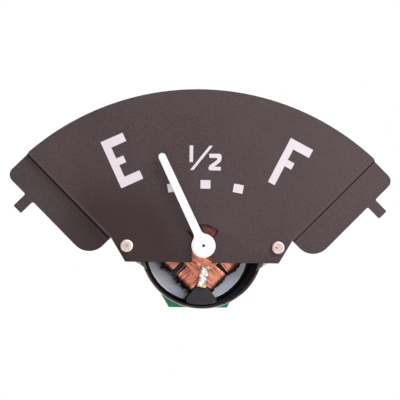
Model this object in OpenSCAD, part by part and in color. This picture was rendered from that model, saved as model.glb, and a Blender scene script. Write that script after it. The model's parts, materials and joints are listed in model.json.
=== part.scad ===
// Fan-shaped fuel gauge with a crossed-coil movement, for an instrument cluster.
// Millimetres. X runs to the right, Z up, and the dial faces -Y.
// Every piece is drawn flat, as the dial is seen from the front: x right, y up.
// Its depth is counted backwards from the front face of the dial plate, and
// in_place() then stands it up with the origin at the shoulders of the studs.

/* [Dial plate] */
// Thickness of the sheet
plate_t = 0.7; // [0.5:0.1:1]
// Radius of the curved top edge
arc_r = 64.9; // [62:0.1:68]
// Height of the curved edge's crown above the spindle
crown_h = 39.6; // [38:0.1:41]
// Depth of the straight bottom edge below the spindle
skirt_h = 4; // [3.6:0.1:4.6]
// Width of the straight bottom edge
skirt_w = 38.4; // [37:0.1:40]
// Width of the cut-out's neck, open at the bottom edge
neck_w = 5.2; // [4.6:0.1:5.8]
// Radius of the cut-out's fan above the spindle
fan_r = 5.6; // [5.2:0.1:6.2]
// Slope of the fan's sides, from upright
fan_slope = 38; // [30:1:44]
// Height above the spindle where the neck widens into the fan
fan_root_h = 1.9; // [1.4:0.1:2.4]

/* [Wings] */
// Slope of the bend lines and wings, from level
wing_angle = 45; // [43:1:47]
// Distance from the spindle to each bend line
bend_offset = 15; // [14.6:0.1:15.6]
// Start of the wing, measured along its bend line
wing_start = 17.5; // [17:0.1:18.4]
// Width of the wing, joggle included
wing_w = 7.3; // [6:0.1:8.5]
// How far the wing is set back behind the dial face
wing_drop = 1.2; // [0.8:0.1:1.8]
// Width of the joggle that sets the wing back
joggle_w = 0.4; // [0.3:0.05:1]
// Radius of the wing's large lower corner
lobe_r = 4.8; // [3:0.1:5]
// Radius of the wing's upper corner
wing_corner_r = 2; // [1:0.1:4]
// Start of the locating tab, measured along the bend line
tab_start = 37.4; // [30:0.1:39]
// Width of the locating tab
tab_w = 2.6; // [2:0.1:3.4]
// Length of the locating tab
tab_len = 4.1; // [3:0.1:6]
// Step from the end of the curved edge down to the end of the wing
wing_step = 0.15; // [0.1:0.05:0.6]
// Rounding at the root of the tab
tab_root_r = 0.5; // [0.2:0.1:1]
// Rounding of the tab's tip
tab_tip_r = 0.3; // [0.1:0.1:0.8]

/* [Printed marks] */
// Thickness of the ink
ink_t = 0.05; // [0.04:0.01:0.1]
// How far the print sits to the right of the spindle
print_shift = 0.65; // [0:0.05:1]
// Height of the two letters
letter_h = 12.6; // [10:0.1:14]
// Width of the empty letter
empty_w = 6; // [5:0.1:7]
// Width of the full letter
full_w = 6.4; // [5:0.1:7]
// Width of the letters' upright stroke
stem_w = 1.9; // [1.4:0.1:2.4]
// Thickness of the letters' long bars
bar_t = 2.3; // [1.6:0.1:2.6]
// Thickness of the letters' short middle bar
mid_bar_t = 1.8; // [1.4:0.1:2.2]
// Length of the middle bar past the upright
mid_bar_len = 1.9; // [1.2:0.1:3]
// Space between the top bar and the middle bar
bar_gap = 3; // [2.4:0.1:3.4]
// Distance from the spindle to the middle of each letter
letter_r = 29.8; // [27:0.1:32]
// Angle of the empty letter, left of upright
empty_angle = 44.7; // [42:0.1:46]
// Angle of the full letter, right of upright
full_angle = 46.2; // [42:0.1:48]
// Lean of the empty letter to the left
empty_lean = 25; // [20:0.5:30]
// Lean of the full letter to the right
full_lean = 27.5; // [20:0.5:30]
// Width of the half mark
half_w = 8.1; // [7:0.1:9]
// Height of the half mark
half_h = 6.2; // [5.4:0.1:7]
// Height of the half mark's foot above the spindle
half_base = 19.1; // [18:0.1:20]
// Height of a digit in the half mark
digit_h = 4.2; // [3.6:0.1:4.8]
// Width of the digit 2
two_w = 3.35; // [2.8:0.05:3.8]
// Width of the digit 1
stroke_t = 0.9; // [0.6:0.05:1.1]
// Width of the slash in the half mark
slash_w = 0.85; // [0.6:0.05:1.1]
// Distance from the slash's tip to the end of the half mark
slash_end = 2.25; // [1.8:0.05:2.6]
// How far the slash's foot stands in from the digit 1
slash_inset = 0.15; // [0:0.05:0.6]
// Width of the scale squares
square_w = 2.5; // [2:0.1:3.2]
// Height of the scale squares
square_h = 2.15; // [1.6:0.05:2.6]
// Height of the middle square's centre above the spindle
square_base = 15.55; // [14.5:0.05:16.5]
// Sideways distance between the squares
square_step = 8.25; // [7:0.05:9.5]
// How much lower the outer squares sit
square_fall = 0.95; // [0:0.05:1.5]
// Tilt of the outer squares
square_tilt = 10; // [0:1:15]

/* [Pointer] */
// Length from the spindle to the tip
pointer_len = 25.3; // [23:0.1:28]
// Thickness of the pointer
pointer_t = 0.45; // [0.3:0.05:0.7]
// Space between the dial face and the pointer
pointer_gap = 2.1; // [1.2:0.1:3]
// Width of the arm at the hub
arm_root_w = 2.1; // [1.6:0.1:2.6]
// Width of the arm at the tip
arm_tip_w = 1.9; // [1:0.1:2.2]
// Radius of the hub disc
hub_r = 3; // [2.6:0.1:3.4]
// Rounding between the hub and the arm
hub_fillet_r = 1.5; // [0.8:0.1:2.5]
// Width of the rim around the hub's raised top
hub_rim_w = 0.35; // [0.2:0.05:0.6]
// Height of the hub's raised top
hub_step_t = 0.12; // [0.08:0.02:0.3]
// Diameter of the hole in the middle of the hub
hub_hole_d = 0.6; // [0.4:0.05:0.7]
// Angle at which the pointer rests, left of upright
rest_angle = 25.4; // [0:0.1:45]
// Diameter of the sleeve that presses on the spindle
sleeve_d = 2; // [1.6:0.1:2.6]
// Length of the sleeve
sleeve_len = 2.6; // [2:0.1:3]

/* [Spindle and bearings] */
// Diameter of the spindle
spindle_d = 0.8; // [0.7:0.05:0.9]
// Radial running clearance in the bearings
running_clearance = 0.03; // [0.02:0.01:0.06]
// Radial space round the spindle where it passes through the bobbin
spindle_room = 0.1; // [0.06:0.01:0.15]
// End play of the spindle in the rear bearing
end_play = 0.05; // [0.03:0.01:0.1]
// Outer diameter of the bearing bushes
bush_d = 1.5; // [1.3:0.05:1.7]
// Length of the bearing bushes
bush_len = 2.2; // [1.6:0.1:2.3]
// Thickness of the closed end of the rear bearing
cup_end_t = 0.5; // [0.3:0.1:0.8]
// Diameter of the rotor magnet
rotor_d = 8.6; // [7:0.1:9.2]
// Space around the rotor magnet in its chamber
rotor_clearance = 0.4; // [0.3:0.05:0.6]

/* [Coils and bobbin] */
// Gap between the two bands of a coil, where the spindle passes
coil_gap = 2.3; // [2.2:0.05:2.6]
// What the gap of the inner coil narrows to at its ends
inner_end_gap = 1.6; // [1.2:0.1:2]
// What the gap of the outer coil narrows to at its ends
outer_end_gap = 0.4; // [0.2:0.1:1.2]
// Build-up of a winding
winding_t = 1.2; // [0.9:0.05:1.3]
// Depth of the bobbin's core inside the coils
core_h = 5; // [4.6:0.1:6]
// Thickness of the chamber's end walls
chamber_wall = 0.7; // [0.5:0.05:0.9]
// Width of the bobbin's flange beside a coil
flange_w = 2.5; // [2.2:0.1:2.7]
// Space between a coil and the bobbin's ribs and posts
coil_clearance = 0.1; // [0.05:0.01:0.15]
// Distance by which the rib stops short of the winding's ends
rib_setback = 0.2; // [0.1:0.05:0.4]
// Height of a post's straight foot on the floor plate
foot_h = 0.2; // [0.1:0.1:1]
// How far the terminal posts stand in front of the coils
post_rise = 0.8; // [0.5:0.1:0.9]
// Width of a terminal post at its outer end
post_w = 7.6; // [6.5:0.1:8.4]
// Width of a terminal post where it leaves the coils
post_neck_w = 3.3; // [2.8:0.1:3.5]
// Radius of a post's outer corners
post_round_r = 0.8; // [0.5:0.05:1]
// Depth of a post's straight edge, before it narrows towards its foot
post_edge_t = 0.8; // [0.5:0.1:1.5]
// Space between the posts and the can's rim
post_gap = 0.45; // [0.35:0.05:0.8]

/* [Terminal tags] */
// Width of the solder tag
tag_w = 2.3; // [1.8:0.1:2.6]
// Length of the solder tag over the coils
tag_len = 5.5; // [4:0.1:6]
// Thickness of the tag's brass strip
tag_t = 0.4; // [0.3:0.05:0.45]
// Lean of the tags, as they were pushed over
tag_lean = 10; // [0:1:12]
// Space between a tag and the coil under it
tag_gap = 0.2; // [0.15:0.05:0.35]
// How far the tag runs out past its pin
tag_tail = 0.65; // [0.3:0.05:0.9]
// Diameter of the wire hole at the tag's end
tag_hole_d = 0.9; // [0.6:0.05:1.1]
// Distance from the pins to the edge of the floor plate
pin_edge = 3.62; // [3.45:0.01:3.8]
// Width of the pin that runs back through the post
pin_w = 1; // [0.8:0.05:1.1]
// Plastic left between the pin and the coils
pin_wall = 0.3; // [0.2:0.05:0.4]

/* [Can] */
// Outer radius of the can
can_r = 15.5; // [15.2:0.1:17]
// Thickness of the can's sheet
can_t = 0.6; // [0.5:0.05:0.8]
// How much narrower the can's radius is at its floor
can_taper = 0.95; // [0.6:0.05:1.1]
// Radius of the inside corner at the can's floor
can_fillet_r = 0.8; // [0.7:0.05:1]
// Space between the can's ears and the front coil
coil_setback = 1.1; // [0.9:0.05:1.6]
// Thickness of the floor plate
floor_t = 0.4; // [0.3:0.05:0.6]
// Space between the floor plate and the can's rounded corner
floor_clearance = 0.1; // [0.05:0.05:0.3]
// Space between the rear coil and the floor plate
floor_gap = 0.4; // [0.3:0.05:0.8]
// Radius of the ears' round ends
ear_end_r = 2; // [1.9:0.1:2.4]
// Taper of each side of the ears
ear_taper = 32; // [26:1:34]

/* [Rivets] */
// Distance between the two rivets
rivet_spacing = 37.9; // [37.5:0.1:39]
// How far the rivets sit below the spindle
rivet_drop = 0.15; // [0:0.05:0.5]
// Diameter of the rivet's head
rivet_head_d = 3.2; // [2.6:0.1:3.6]
// Height of the rivet's head
rivet_head_t = 0.85; // [0.5:0.05:1.1]
// Width of the bevel round the rivet's head
rivet_bevel = 0.3; // [0.1:0.05:0.4]
// Diameter of the rivet's shank
rivet_d = 2; // [1.6:0.1:2.4]
// Radius of the dimple in the rivet's head
dimple_r = 0.25; // [0.15:0.05:0.5]
// Depth of the dimple in the rivet's head
dimple_h = 0.2; // [0.1:0.05:0.4]
// Diameter of the tail set under the ear
rivet_tail_d = 3; // [2.6:0.1:3.4]
// Height of the tail set under the ear
rivet_tail_t = 0.7; // [0.4:0.05:1]

/* [Circuit board] */
// Thickness of the insulating disc behind the can
insulator_t = 0.4; // [0.2:0.05:0.8]
// Thickness of the board
board_t = 1.6; // [1.2:0.1:2]
// Half height of the hexagonal board
board_h = 14.65; // [14:0.05:16]
// Width of the board's straight top and bottom edges
board_edge_w = 14.9; // [14.5:0.1:17]
// Width of the board across its side corners
board_w = 32.4; // [31:0.1:35]
// How far the board sits to the right of the spindle
board_shift = 0.5; // [0:0.05:0.8]
// Space round pins, screws and studs where they pass through
hole_clearance = 0.1; // [0.05:0.01:0.15]
// Space round the terminal pins where they pass through metal
pin_clearance = 0.3; // [0.2:0.05:0.4]
// Length of the resistor's body
resistor_len = 7; // [5:0.1:8]
// Diameter of the resistor's body
resistor_d = 2.2; // [1.6:0.1:2.4]
// Diameter of the resistor's leads
lead_d = 0.6; // [0.4:0.05:0.8]
// Length of the leads between the resistor's body and their bend
lead_reach = 1.2; // [0.8:0.1:1.6]
// How far the leads stand out in front of the board
lead_out = 0.3; // [0.1:0.1:0.7]
// Height of the resistor's body above the board
resistor_lift = 0.3; // [0.1:0.05:1]
// Distance of the resistor from the board's bottom edge
resistor_inset = 2.35; // [1.8:0.05:2.8]

/* [Studs and screws] */
// Distance from the studs' axes to the edge of the floor plate
stud_edge = 5.55; // [5.3:0.05:5.8]
// Diameter of the studs' shank through the board
stud_d = 4; // [3.6:0.1:4.2]
// Diameter of the studs' free terminal end
terminal_d = 3; // [2.5:0.1:3.4]
// Length of the studs' free terminal end
terminal_len = 7; // [5:0.1:12]
// Chamfer at the tip of the studs
terminal_chamfer = 0.4; // [0.2:0.1:0.8]
// Diameter of the studs' head
stud_head_d = 5.4; // [5:0.1:6]
// Thickness of the studs' head
stud_head_t = 1; // [0.8:0.1:1.6]
// Length of shank that shows between the nut and the shoulder
shank_show = 0.6; // [0.2:0.1:1.5]
// Diameter of the flat washers
washer_d = 8; // [7.4:0.1:8.2]
// Thickness of the flat washers
washer_t = 0.5; // [0.3:0.1:0.8]
// Diameter of the lock washers
lock_d = 7; // [6.4:0.1:7.4]
// Thickness of the lock washers
lock_t = 0.9; // [0.6:0.1:1.2]
// Gap cut through the lock washers
lock_slit = 0.7; // [0.4:0.1:1]
// Width of the nuts across their flats
nut_w = 7; // [6.4:0.1:7.2]
// Thickness of the nuts
nut_t = 2.2; // [1.8:0.1:3.2]
// Height of the chamfer on the nuts' corners
nut_chamfer = 0.4; // [0.2:0.1:0.6]
// Diameter of the two movement screws
screw_d = 1.6; // [1.4:0.05:1.7]
// Length of the movement screws under the head
screw_len = 8; // [7:0.1:9]
// Space left past the tip of the movement screws
screw_tip_gap = 0.3; // [0.1:0.1:0.5]
// Plastic left outside the movement screws
screw_wall = 0.35; // [0.25:0.05:0.6]
// Diameter of the movement screws' head
screw_head_d = 2.6; // [2.2:0.1:2.8]
// Thickness of the movement screws' head
screw_head_t = 1; // [0.8:0.1:1.3]
// Width of the slot in the screws' head
slot_w = 0.4; // [0.3:0.05:0.5]
// Depth of the slot in the screws' head
slot_h = 0.5; // [0.3:0.05:0.6]
// Outer diameter of the spacers under the board
spacer_d = 2.7; // [2.5:0.1:2.8]
// Diameter of the small return magnet in the top post
return_magnet_d = 1.6; // [1.2:0.1:2]
// Length of the return magnet
return_magnet_len = 4; // [3:0.1:4.5]

/* [Hidden] */
$fn = 96;
eps = 0.01;
// How far a cutter runs past the face it cuts
past = 1;
// Facets of a post's rounded corner
corner_steps = 8;

// Depths behind the dial's front face
ear_back = plate_t + can_t;
coil_front = ear_back + coil_setback;
inner_front = coil_front + winding_t;
core_front = inner_front + winding_t;
core_back = core_front + core_h;
inner_back = core_back + winding_t;
coil_back = inner_back + winding_t;
floor_front = coil_back + floor_gap;
floor_back = floor_front + floor_t;
can_back = floor_back + can_t;
insulator_back = can_back + insulator_t;
board_front = insulator_back + stud_head_t;
board_back = board_front + board_t;
washer_back = board_back + washer_t;
lock_back = washer_back + lock_t;
nut_back = lock_back + nut_t;
shoulder = nut_back + shank_show;
bobbin_split = (core_front + core_back) / 2;
chamber_front = core_front + chamber_wall;
chamber_back = core_back - chamber_wall;
post_front = coil_front - post_rise;
tag_front = coil_front - tag_gap - tag_t;
front_bush_front = coil_front - coil_clearance;
rear_bush_back = coil_back - rib_setback;
rear_bush_front = rear_bush_back - bush_len;
spindle_back = rear_bush_back - cup_end_t - end_play;

// Plan sizes
arc_centre = crown_h - arc_r;
can_bore_r = can_r - can_t;
floor_r = can_bore_r - can_taper - can_fillet_r - floor_clearance;
pin_r = floor_r - pin_edge;
post_tip = pin_r - pin_w / 2 - pin_wall;
coil_half = post_tip / sqrt(2) - coil_clearance;
core_half = coil_half + flange_w;
winding_half = core_half + winding_t;
tube_r = coil_gap / 2 - coil_clearance;
bore_r = spindle_d / 2 + running_clearance;
post_r = can_bore_r - post_gap;
foot_r = floor_r - floor_clearance;
screw_r = foot_r - screw_d / 2 - screw_wall;
stud_circle_r = floor_r - stud_edge;
resistor_drop = board_h - resistor_inset;
screw_hole_d = screw_d + 2 * hole_clearance;
rivet_x = rivet_spacing / 2;
lead_x = resistor_len / 2 + lead_reach;
plan = 6 * core_half;
post_turns = [0, 90, 180, 270];
tag_turns = [-90, 0, 90];
stud_turns = [90, 210, 330];

// Outline of the digit 2, as parts of its width and height
two_points = [
    [0.07, 1], [0.83, 1], [0.94, 0.96], [1, 0.86], [0.99, 0.72], [0.93, 0.57], [0.82, 0.46],
    [0.46, 0.22], [0.93, 0.22], [0.93, 0], [0.16, 0], [0.05, 0.03], [0, 0.14], [0.1, 0.3],
    [0.66, 0.64], [0.67, 0.71], [0.63, 0.75], [0.07, 0.75]
];

// A point of the right wing: p runs up along the bend line, q outwards from the spindle
function wing_point(p, q) =
    [p * cos(wing_angle) + q * sin(wing_angle), p * sin(wing_angle) - q * cos(wing_angle)];
// Where the curved edge meets the bend line, measured along it
function wing_end() =
    let(along = arc_centre * sin(wing_angle), across = bend_offset + arc_centre * cos(wing_angle))
    along + sqrt(arc_r * arc_r - across * across);
function flip(points) = [for (i = [len(points) - 1:-1:0]) [-points[i][0], points[i][1]]];
wing_top = wing_end() - wing_step;
// How far a bend on the rear face lies inside the same bend on the front face
bend_shift = plate_t * tan(atan2(wing_drop, joggle_w) / 2);
wing_edge = bend_offset + wing_w;
// The dial's flat part ends this far short of the bend line, inside the wing's strip
bend_lap = plate_t / 2;

// Placing and shaping helpers
module in_place() translate([0, -shoulder, 0]) rotate([90, 0, 0]) children();
module slab(from, to) translate([0, 0, -to]) linear_extrude(to - from) children();
module rod(from, to, r) translate([0, 0, -to]) cylinder(h = to - from, r = r);
// The same two, as cutters that run past both faces
module opening(from, to) slab(from - past, to + past) children();
module hole(from, to, r) rod(from - past, to + past, r);
module both_sides() {
    children();
    mirror([1, 0, 0]) children();
}
module at_screws() for (x = [-screw_r, screw_r]) translate([x, 0, 0]) children();
module at_studs() for (a = stud_turns) rotate([0, 0, a]) translate([stud_circle_r, 0, 0]) children();
module at_rivets() both_sides() translate([rivet_x, -rivet_drop, 0]) children();
// What is cut away to round a corner at the origin, with the sheet in the +x +y quarter
module corner_cut(r) difference() {
    translate([-past, -past]) square(r + past);
    translate([r, r]) circle(r);
}
// What fills an inside corner at the origin, open towards +x +y
module corner_fill(r) difference() {
    translate([-eps, -eps]) square(r + eps);
    translate([r, r]) circle(r);
}
module rounded_bar(w, h, r) difference() {
    square([w, h], center = true);
    for (x = [0, 1], y = [0, 1])
        mirror([x, 0]) mirror([0, y]) translate([-w / 2, -h / 2]) corner_cut(r);
}
// Slots that let the terminal pins through, with room on each side
module pin_slots(room) for (a = tag_turns)
    rotate(a) translate([0, -pin_r]) square([pin_w + 2 * room, tag_t + 2 * room], center = true);

// Dial plate
module sector_outline() {
    right_side = [
        [skirt_w / 2, -skirt_h],
        wing_point(wing_start + bend_lap, bend_offset - bend_lap),
        wing_point(2 * arc_r, bend_offset - bend_lap)
    ];
    intersection() {
        translate([0, arc_centre]) circle(arc_r, $fn = 240);
        polygon(concat(right_side, flip(right_side)));
    }
}
module hub_cutout() {
    half = neck_w / 2;
    reach = 2 * fan_r;
    root = [
        [half, -skirt_h - past], [half, fan_root_h], [half + reach * tan(fan_slope), fan_root_h + reach]
    ];
    intersection() {
        polygon(concat(root, flip(root)));
        union() {
            circle(fan_r);
            translate([-half, -skirt_h - past]) square([neck_w, skirt_h + past]);
        }
    }
}
module wing_cutaway() rotate(wing_angle) {
    translate([wing_start, -wing_edge]) corner_cut(lobe_r);
    translate([wing_top, -wing_edge]) mirror([1, 0]) corner_cut(wing_corner_r);
}
module tab_outline() rotate(wing_angle) {
    difference() {
        translate([tab_start, -wing_edge - tab_len]) square([tab_w, tab_len + plate_t]);
        translate([tab_start, -wing_edge - tab_len]) corner_cut(tab_tip_r);
        translate([tab_start + tab_w, -wing_edge - tab_len]) mirror([1, 0]) corner_cut(tab_tip_r);
    }
    translate([tab_start, -wing_edge]) rotate(180) corner_fill(tab_root_r);
    translate([tab_start + tab_w, -wing_edge]) mirror([0, 1]) corner_fill(tab_root_r);
}
// The wing with its joggle, as one bent strip that laps into the dial by the sheet's thickness
module wing_strip() rotate([0, 0, wing_angle]) translate([wing_start, 0, 0]) rotate([90, 0, 90])
    linear_extrude(wing_top - wing_start)
        polygon([
            [plate_t - bend_offset, 0],
            [-bend_offset, 0],
            [-bend_offset - joggle_w, -wing_drop],
            [-wing_edge, -wing_drop],
            [-wing_edge, -wing_drop - plate_t],
            [bend_shift - bend_offset - joggle_w, -wing_drop - plate_t],
            [bend_shift - bend_offset, -plate_t],
            [plate_t - bend_offset, -plate_t]
        ]);
module dial_plate() color("#54494a") in_place() difference() {
    union() {
        slab(0, plate_t) sector_outline();
        both_sides() {
            difference() {
                wing_strip();
                opening(wing_drop, wing_drop + plate_t) wing_cutaway();
            }
            slab(wing_drop, wing_drop + plate_t) tab_outline();
        }
    }
    opening(0, plate_t) hub_cutout();
    at_rivets() hole(0, plate_t, rivet_d / 2);
}

// Printed marks, all generic: E, F, one half and three squares
module letter(w, footed) translate([-w / 2, -letter_h / 2]) {
    square([stem_w, letter_h]);
    translate([0, letter_h - bar_t]) square([w, bar_t]);
    translate([0, letter_h - bar_t - bar_gap - mid_bar_t]) square([stem_w + mid_bar_len, mid_bar_t]);
    if (footed) square([w, bar_t]);
}
module digit_two() polygon([for (point = two_points) [point[0] * two_w, point[1] * digit_h]]);
module half_mark() translate([-half_w / 2, half_base]) {
    slash_run = half_w - slash_end - slash_inset - slash_w;
    translate([0, half_h - digit_h]) square([stroke_t, digit_h]);
    translate([half_w - two_w, 0]) digit_two();
    translate([slash_inset, 0])
        polygon([[0, 0], [slash_w, 0], [slash_w + slash_run, half_h], [slash_run, half_h]]);
}
module scale_squares() for (side = [-1, 0, 1])
    translate([side * square_step, square_base - abs(side) * square_fall]) rotate(-side * square_tilt)
        square([square_w, square_h], center = true);
module dial_markings() color("#e6dde6") in_place() slab(-ink_t, 0) translate([print_shift, 0]) {
    rotate(empty_angle) translate([0, letter_r]) rotate(empty_lean - empty_angle) letter(empty_w, true);
    rotate(-full_angle) translate([0, letter_r]) rotate(full_angle - full_lean) letter(full_w, false);
    half_mark();
    scale_squares();
}

// Pointer, its sleeve, the spindle and the rotor
module arm_outline() {
    blend_x = arm_root_w / 2 + hub_fillet_r;
    blend_y = sqrt(pow(hub_r + hub_fillet_r, 2) - blend_x * blend_x);
    tip_y = pointer_len - arm_tip_w / 2;
    difference() {
        polygon([[0, 0], [blend_x, blend_y], [-blend_x, blend_y]]);
        for (side = [-1, 1]) translate([side * blend_x, blend_y]) circle(hub_fillet_r);
    }
    polygon([
        [-arm_root_w / 2, blend_y - eps], [arm_root_w / 2, blend_y - eps],
        [arm_tip_w / 2, tip_y], [-arm_tip_w / 2, tip_y]
    ]);
    translate([0, tip_y]) circle(arm_tip_w / 2);
}
module pointer() color("white") in_place() rotate([0, 0, rest_angle]) difference() {
    union() {
        slab(-pointer_gap - pointer_t, -pointer_gap) union() {
            arm_outline();
            circle(hub_r);
        }
        rod(-pointer_gap - pointer_t - hub_step_t, -pointer_gap, hub_r - hub_rim_w);
    }
    hole(-pointer_gap - pointer_t, -pointer_gap, hub_hole_d / 2);
}
module pointer_sleeve() color("#c9a45c") in_place() difference() {
    rod(-pointer_gap, sleeve_len - pointer_gap, sleeve_d / 2);
    hole(-pointer_gap, sleeve_len - pointer_gap, spindle_d / 2);
}
module spindle() color("silver") in_place() rod(-pointer_gap, spindle_back, spindle_d / 2);
module rotor_magnet() color("#3c3c40") in_place() difference() {
    rod(chamber_front + rotor_clearance, chamber_back - rotor_clearance, rotor_d / 2);
    rod(chamber_front, chamber_back, spindle_d / 2);
}

// Bearings
module front_bearing() color("#b9934a") in_place() difference() {
    rod(front_bush_front, front_bush_front + bush_len, bush_d / 2);
    hole(front_bush_front, front_bush_front + bush_len, bore_r);
}
module rear_bearing() color("#b9934a") in_place() difference() {
    rod(rear_bush_front, rear_bush_back, bush_d / 2);
    rod(rear_bush_front - past, rear_bush_back - cup_end_t, bore_r);
}

// Bobbin: a square core that holds the rotor's chamber, flanges and ribs for the
// two crossed coils, a tube for the bearings and a post in each gap of the cross
module post_outline() {
    neck = [post_neck_w / 2, -post_tip - post_neck_w / 2];
    round_x = post_w / 2 - post_round_r;
    round_turn = -acos(round_x / (post_r + eps - post_round_r));
    centre = [round_x, round_x * tan(round_turn)];
    reach = centre - neck;
    flank_turn = atan2(reach[1], reach[0]) + asin(post_round_r / norm(reach)) + 90;
    corner = [
        for (i = [0:corner_steps])
            let (a = flank_turn + (round_turn - flank_turn) * i / corner_steps)
                centre + post_round_r * [cos(a), sin(a)]
    ];
    outside = centre * (post_r + past) / norm(centre);
    half = concat([[0, -post_tip], neck], corner, [outside]);
    polygon(concat(half, flip(half)));
}
// The raised cap of a post starts where its tag ends
module post_cap_outline() intersection() {
    post_outline();
    translate([-post_r, -2 * post_r]) square([2 * post_r, 2 * post_r - pin_r - tag_tail - tag_gap]);
}
module posts() intersection() {
    for (a = post_turns) rotate([0, 0, a]) {
        slab(coil_front, floor_front) post_outline();
        slab(post_front, coil_front + eps) post_cap_outline();
    }
    rotate_extrude() polygon([
        [0, -post_front], [post_r, -post_front],
        [post_r, -post_front - post_edge_t], [foot_r, foot_h - floor_front],
        [foot_r, -floor_front], [0, -floor_front]
    ]);
}
// Plan of a coil's gap, widest at the spindle; the room narrows it on both sides
module gap_outline(end_gap, room) {
    right_side = [
        [winding_half, -end_gap / 2 + room], [winding_half, end_gap / 2 - room],
        [0, coil_gap / 2 - room]
    ];
    polygon(concat([[0, -coil_gap / 2 + room]], right_side,
        [[-winding_half, end_gap / 2 - room], [-winding_half, -end_gap / 2 + room]]));
}
module bobbin_plastic() {
    flange_inner = coil_half + coil_clearance;
    flange_at = (flange_inner + core_half) / 2;
    flange_t = core_half - flange_inner;
    rotate([0, 0, 45]) {
        slab(core_front, core_back) square(2 * core_half, center = true);
        slab(inner_front, inner_back) for (side = [-1, 1])
            translate([0, side * flange_at]) square([2 * coil_half, flange_t], center = true);
        slab(inner_front, inner_back) intersection() {
            gap_outline(inner_end_gap, coil_clearance);
            square([2 * (winding_half - rib_setback), coil_gap], center = true);
        }
        slab(coil_front, coil_back) for (x = [-1, 1], y = [-1, 1])
            translate([x * flange_at, y * flange_at]) square(flange_t, center = true);
    }
    rod(front_bush_front, coil_back, tube_r);
    posts();
}
module bobbin() difference() {
    bobbin_plastic();
    rod(chamber_front, chamber_back, rotor_d / 2 + rotor_clearance);
    hole(front_bush_front, coil_back, spindle_d / 2 + spindle_room);
    rod(front_bush_front - past, front_bush_front + bush_len, bush_d / 2);
    rod(rear_bush_front, coil_back + past, bush_d / 2);
    opening(post_front, floor_front) pin_slots(0);
    at_screws() rod(board_back - screw_len - screw_tip_gap, floor_front + past, screw_d / 2);
    translate([0, screw_r, 0])
        rod(post_front - past, post_front + return_magnet_len, return_magnet_d / 2);
}
module bobbin_front() color("#37343a") in_place() intersection() {
    bobbin();
    slab(coil_front - 2, bobbin_split) square(plan, center = true);
}
module bobbin_rear() color("#37343a") in_place() intersection() {
    bobbin();
    slab(bobbin_split, floor_front + 2) square(plan, center = true);
}
module return_magnet() color("#77777c") in_place() translate([0, screw_r, 0])
    rod(post_front, post_front + return_magnet_len, return_magnet_d / 2);

// Coils: two bands each, either side of the spindle, crossed at right angles
module band(from, to, end_gap, side, turn) rotate([0, 0, turn]) difference() {
    translate([0, side < 0 ? 0 : coil_half, 0]) rotate([90, 0, 0]) linear_extrude(coil_half)
        translate([0, -(from + to) / 2]) difference() {
            rounded_bar(2 * winding_half, to - from, winding_t);
            square([2 * core_half, to - from - 2 * winding_t], center = true);
        }
    opening(from, to) gap_outline(end_gap, 0);
}
module inner_coil_upper() color("#b8694f") in_place() band(inner_front, inner_back, inner_end_gap, 1, 45);
module inner_coil_lower() color("#b8694f") in_place() band(inner_front, inner_back, inner_end_gap, -1, 45);
module outer_coil_upper() color("#c67a5e") in_place() band(coil_front, coil_back, outer_end_gap, 1, -45);
module outer_coil_lower() color("#c67a5e") in_place() band(coil_front, coil_back, outer_end_gap, -1, -45);

// Brass strips: a tag over the coils and a pin back through the post to the board
module tag_strip(turn) color("#cfc6bd") in_place() rotate([0, 0, turn]) {
    translate([0, -pin_r, 0]) slab(tag_front, board_back)
        square([pin_w, tag_t], center = true);
    slab(tag_front, tag_front + tag_t) translate([0, -pin_r - tag_tail]) rotate(-tag_lean) difference() {
        translate([-tag_w / 2, 0]) square([tag_w, tag_len]);
        translate([0, tag_len - tag_hole_d]) circle(tag_hole_d / 2);
    }
}
module terminal_tag_left() tag_strip(-90);
module terminal_tag_bottom() tag_strip(0);
module terminal_tag_right() tag_strip(90);

// Can, its floor plate and the rivets that hold the dial

// Half section of a tapered cup, closed at the back with a rounded corner
module cup_profile(r, fillet, front, back) {
    slope = can_taper / (back - front);
    lean = atan(slope);
    corner = [r - slope * (back - fillet - front) - fillet / cos(lean), fillet - back];
    polygon([
        [0, -front], [r, -front], corner + fillet * [cos(lean), -sin(lean)], corner,
        [corner[0], -back], [0, -back]
    ]);
    translate(corner) circle(fillet);
}
module ear_outline() {
    tangent = [rivet_x + ear_end_r * sin(ear_taper), ear_end_r * cos(ear_taper)];
    root_x = can_r * cos(ear_taper);
    root_y = tangent[1] + (tangent[0] - root_x) * tan(ear_taper);
    translate([0, -rivet_drop]) {
        polygon([
            [root_x, root_y], tangent, [tangent[0], -tangent[1]], [root_x, -root_y]
        ]);
        translate([rivet_x, 0]) circle(ear_end_r);
    }
}
module housing_can() color("#7c7672") in_place() difference() {
    union() {
        rotate_extrude() cup_profile(can_r, can_fillet_r + can_t, ear_back, can_back);
        both_sides() slab(plate_t, ear_back) ear_outline();
    }
    rotate_extrude() cup_profile(can_bore_r, can_fillet_r, plate_t - past, floor_back);
    opening(floor_back, can_back) pin_slots(pin_clearance);
    at_screws() hole(floor_back, can_back, screw_hole_d / 2);
    at_rivets() hole(plate_t, ear_back, rivet_d / 2);
}
module floor_plate() color("#8f97a3") in_place() difference() {
    rod(floor_front, floor_back, floor_r);
    opening(floor_front, floor_back) pin_slots(pin_clearance);
    at_screws() hole(floor_front, floor_back, screw_hole_d / 2);
}
module rivet() {
    head_r = rivet_head_d / 2;
    tail_r = rivet_tail_d / 2;
    rotate_extrude() polygon([
        [0, rivet_head_t - dimple_h], [dimple_r, rivet_head_t],
        [head_r - rivet_bevel, rivet_head_t], [head_r, rivet_head_t - rivet_bevel],
        [head_r, 0], [rivet_d / 2, 0], [rivet_d / 2, -ear_back], [tail_r, -ear_back],
        [tail_r - rivet_bevel, -ear_back - rivet_tail_t], [0, -ear_back - rivet_tail_t]
    ]);
}
module dial_rivets() color("#d9cdc8") in_place() at_rivets() rivet();

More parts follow.
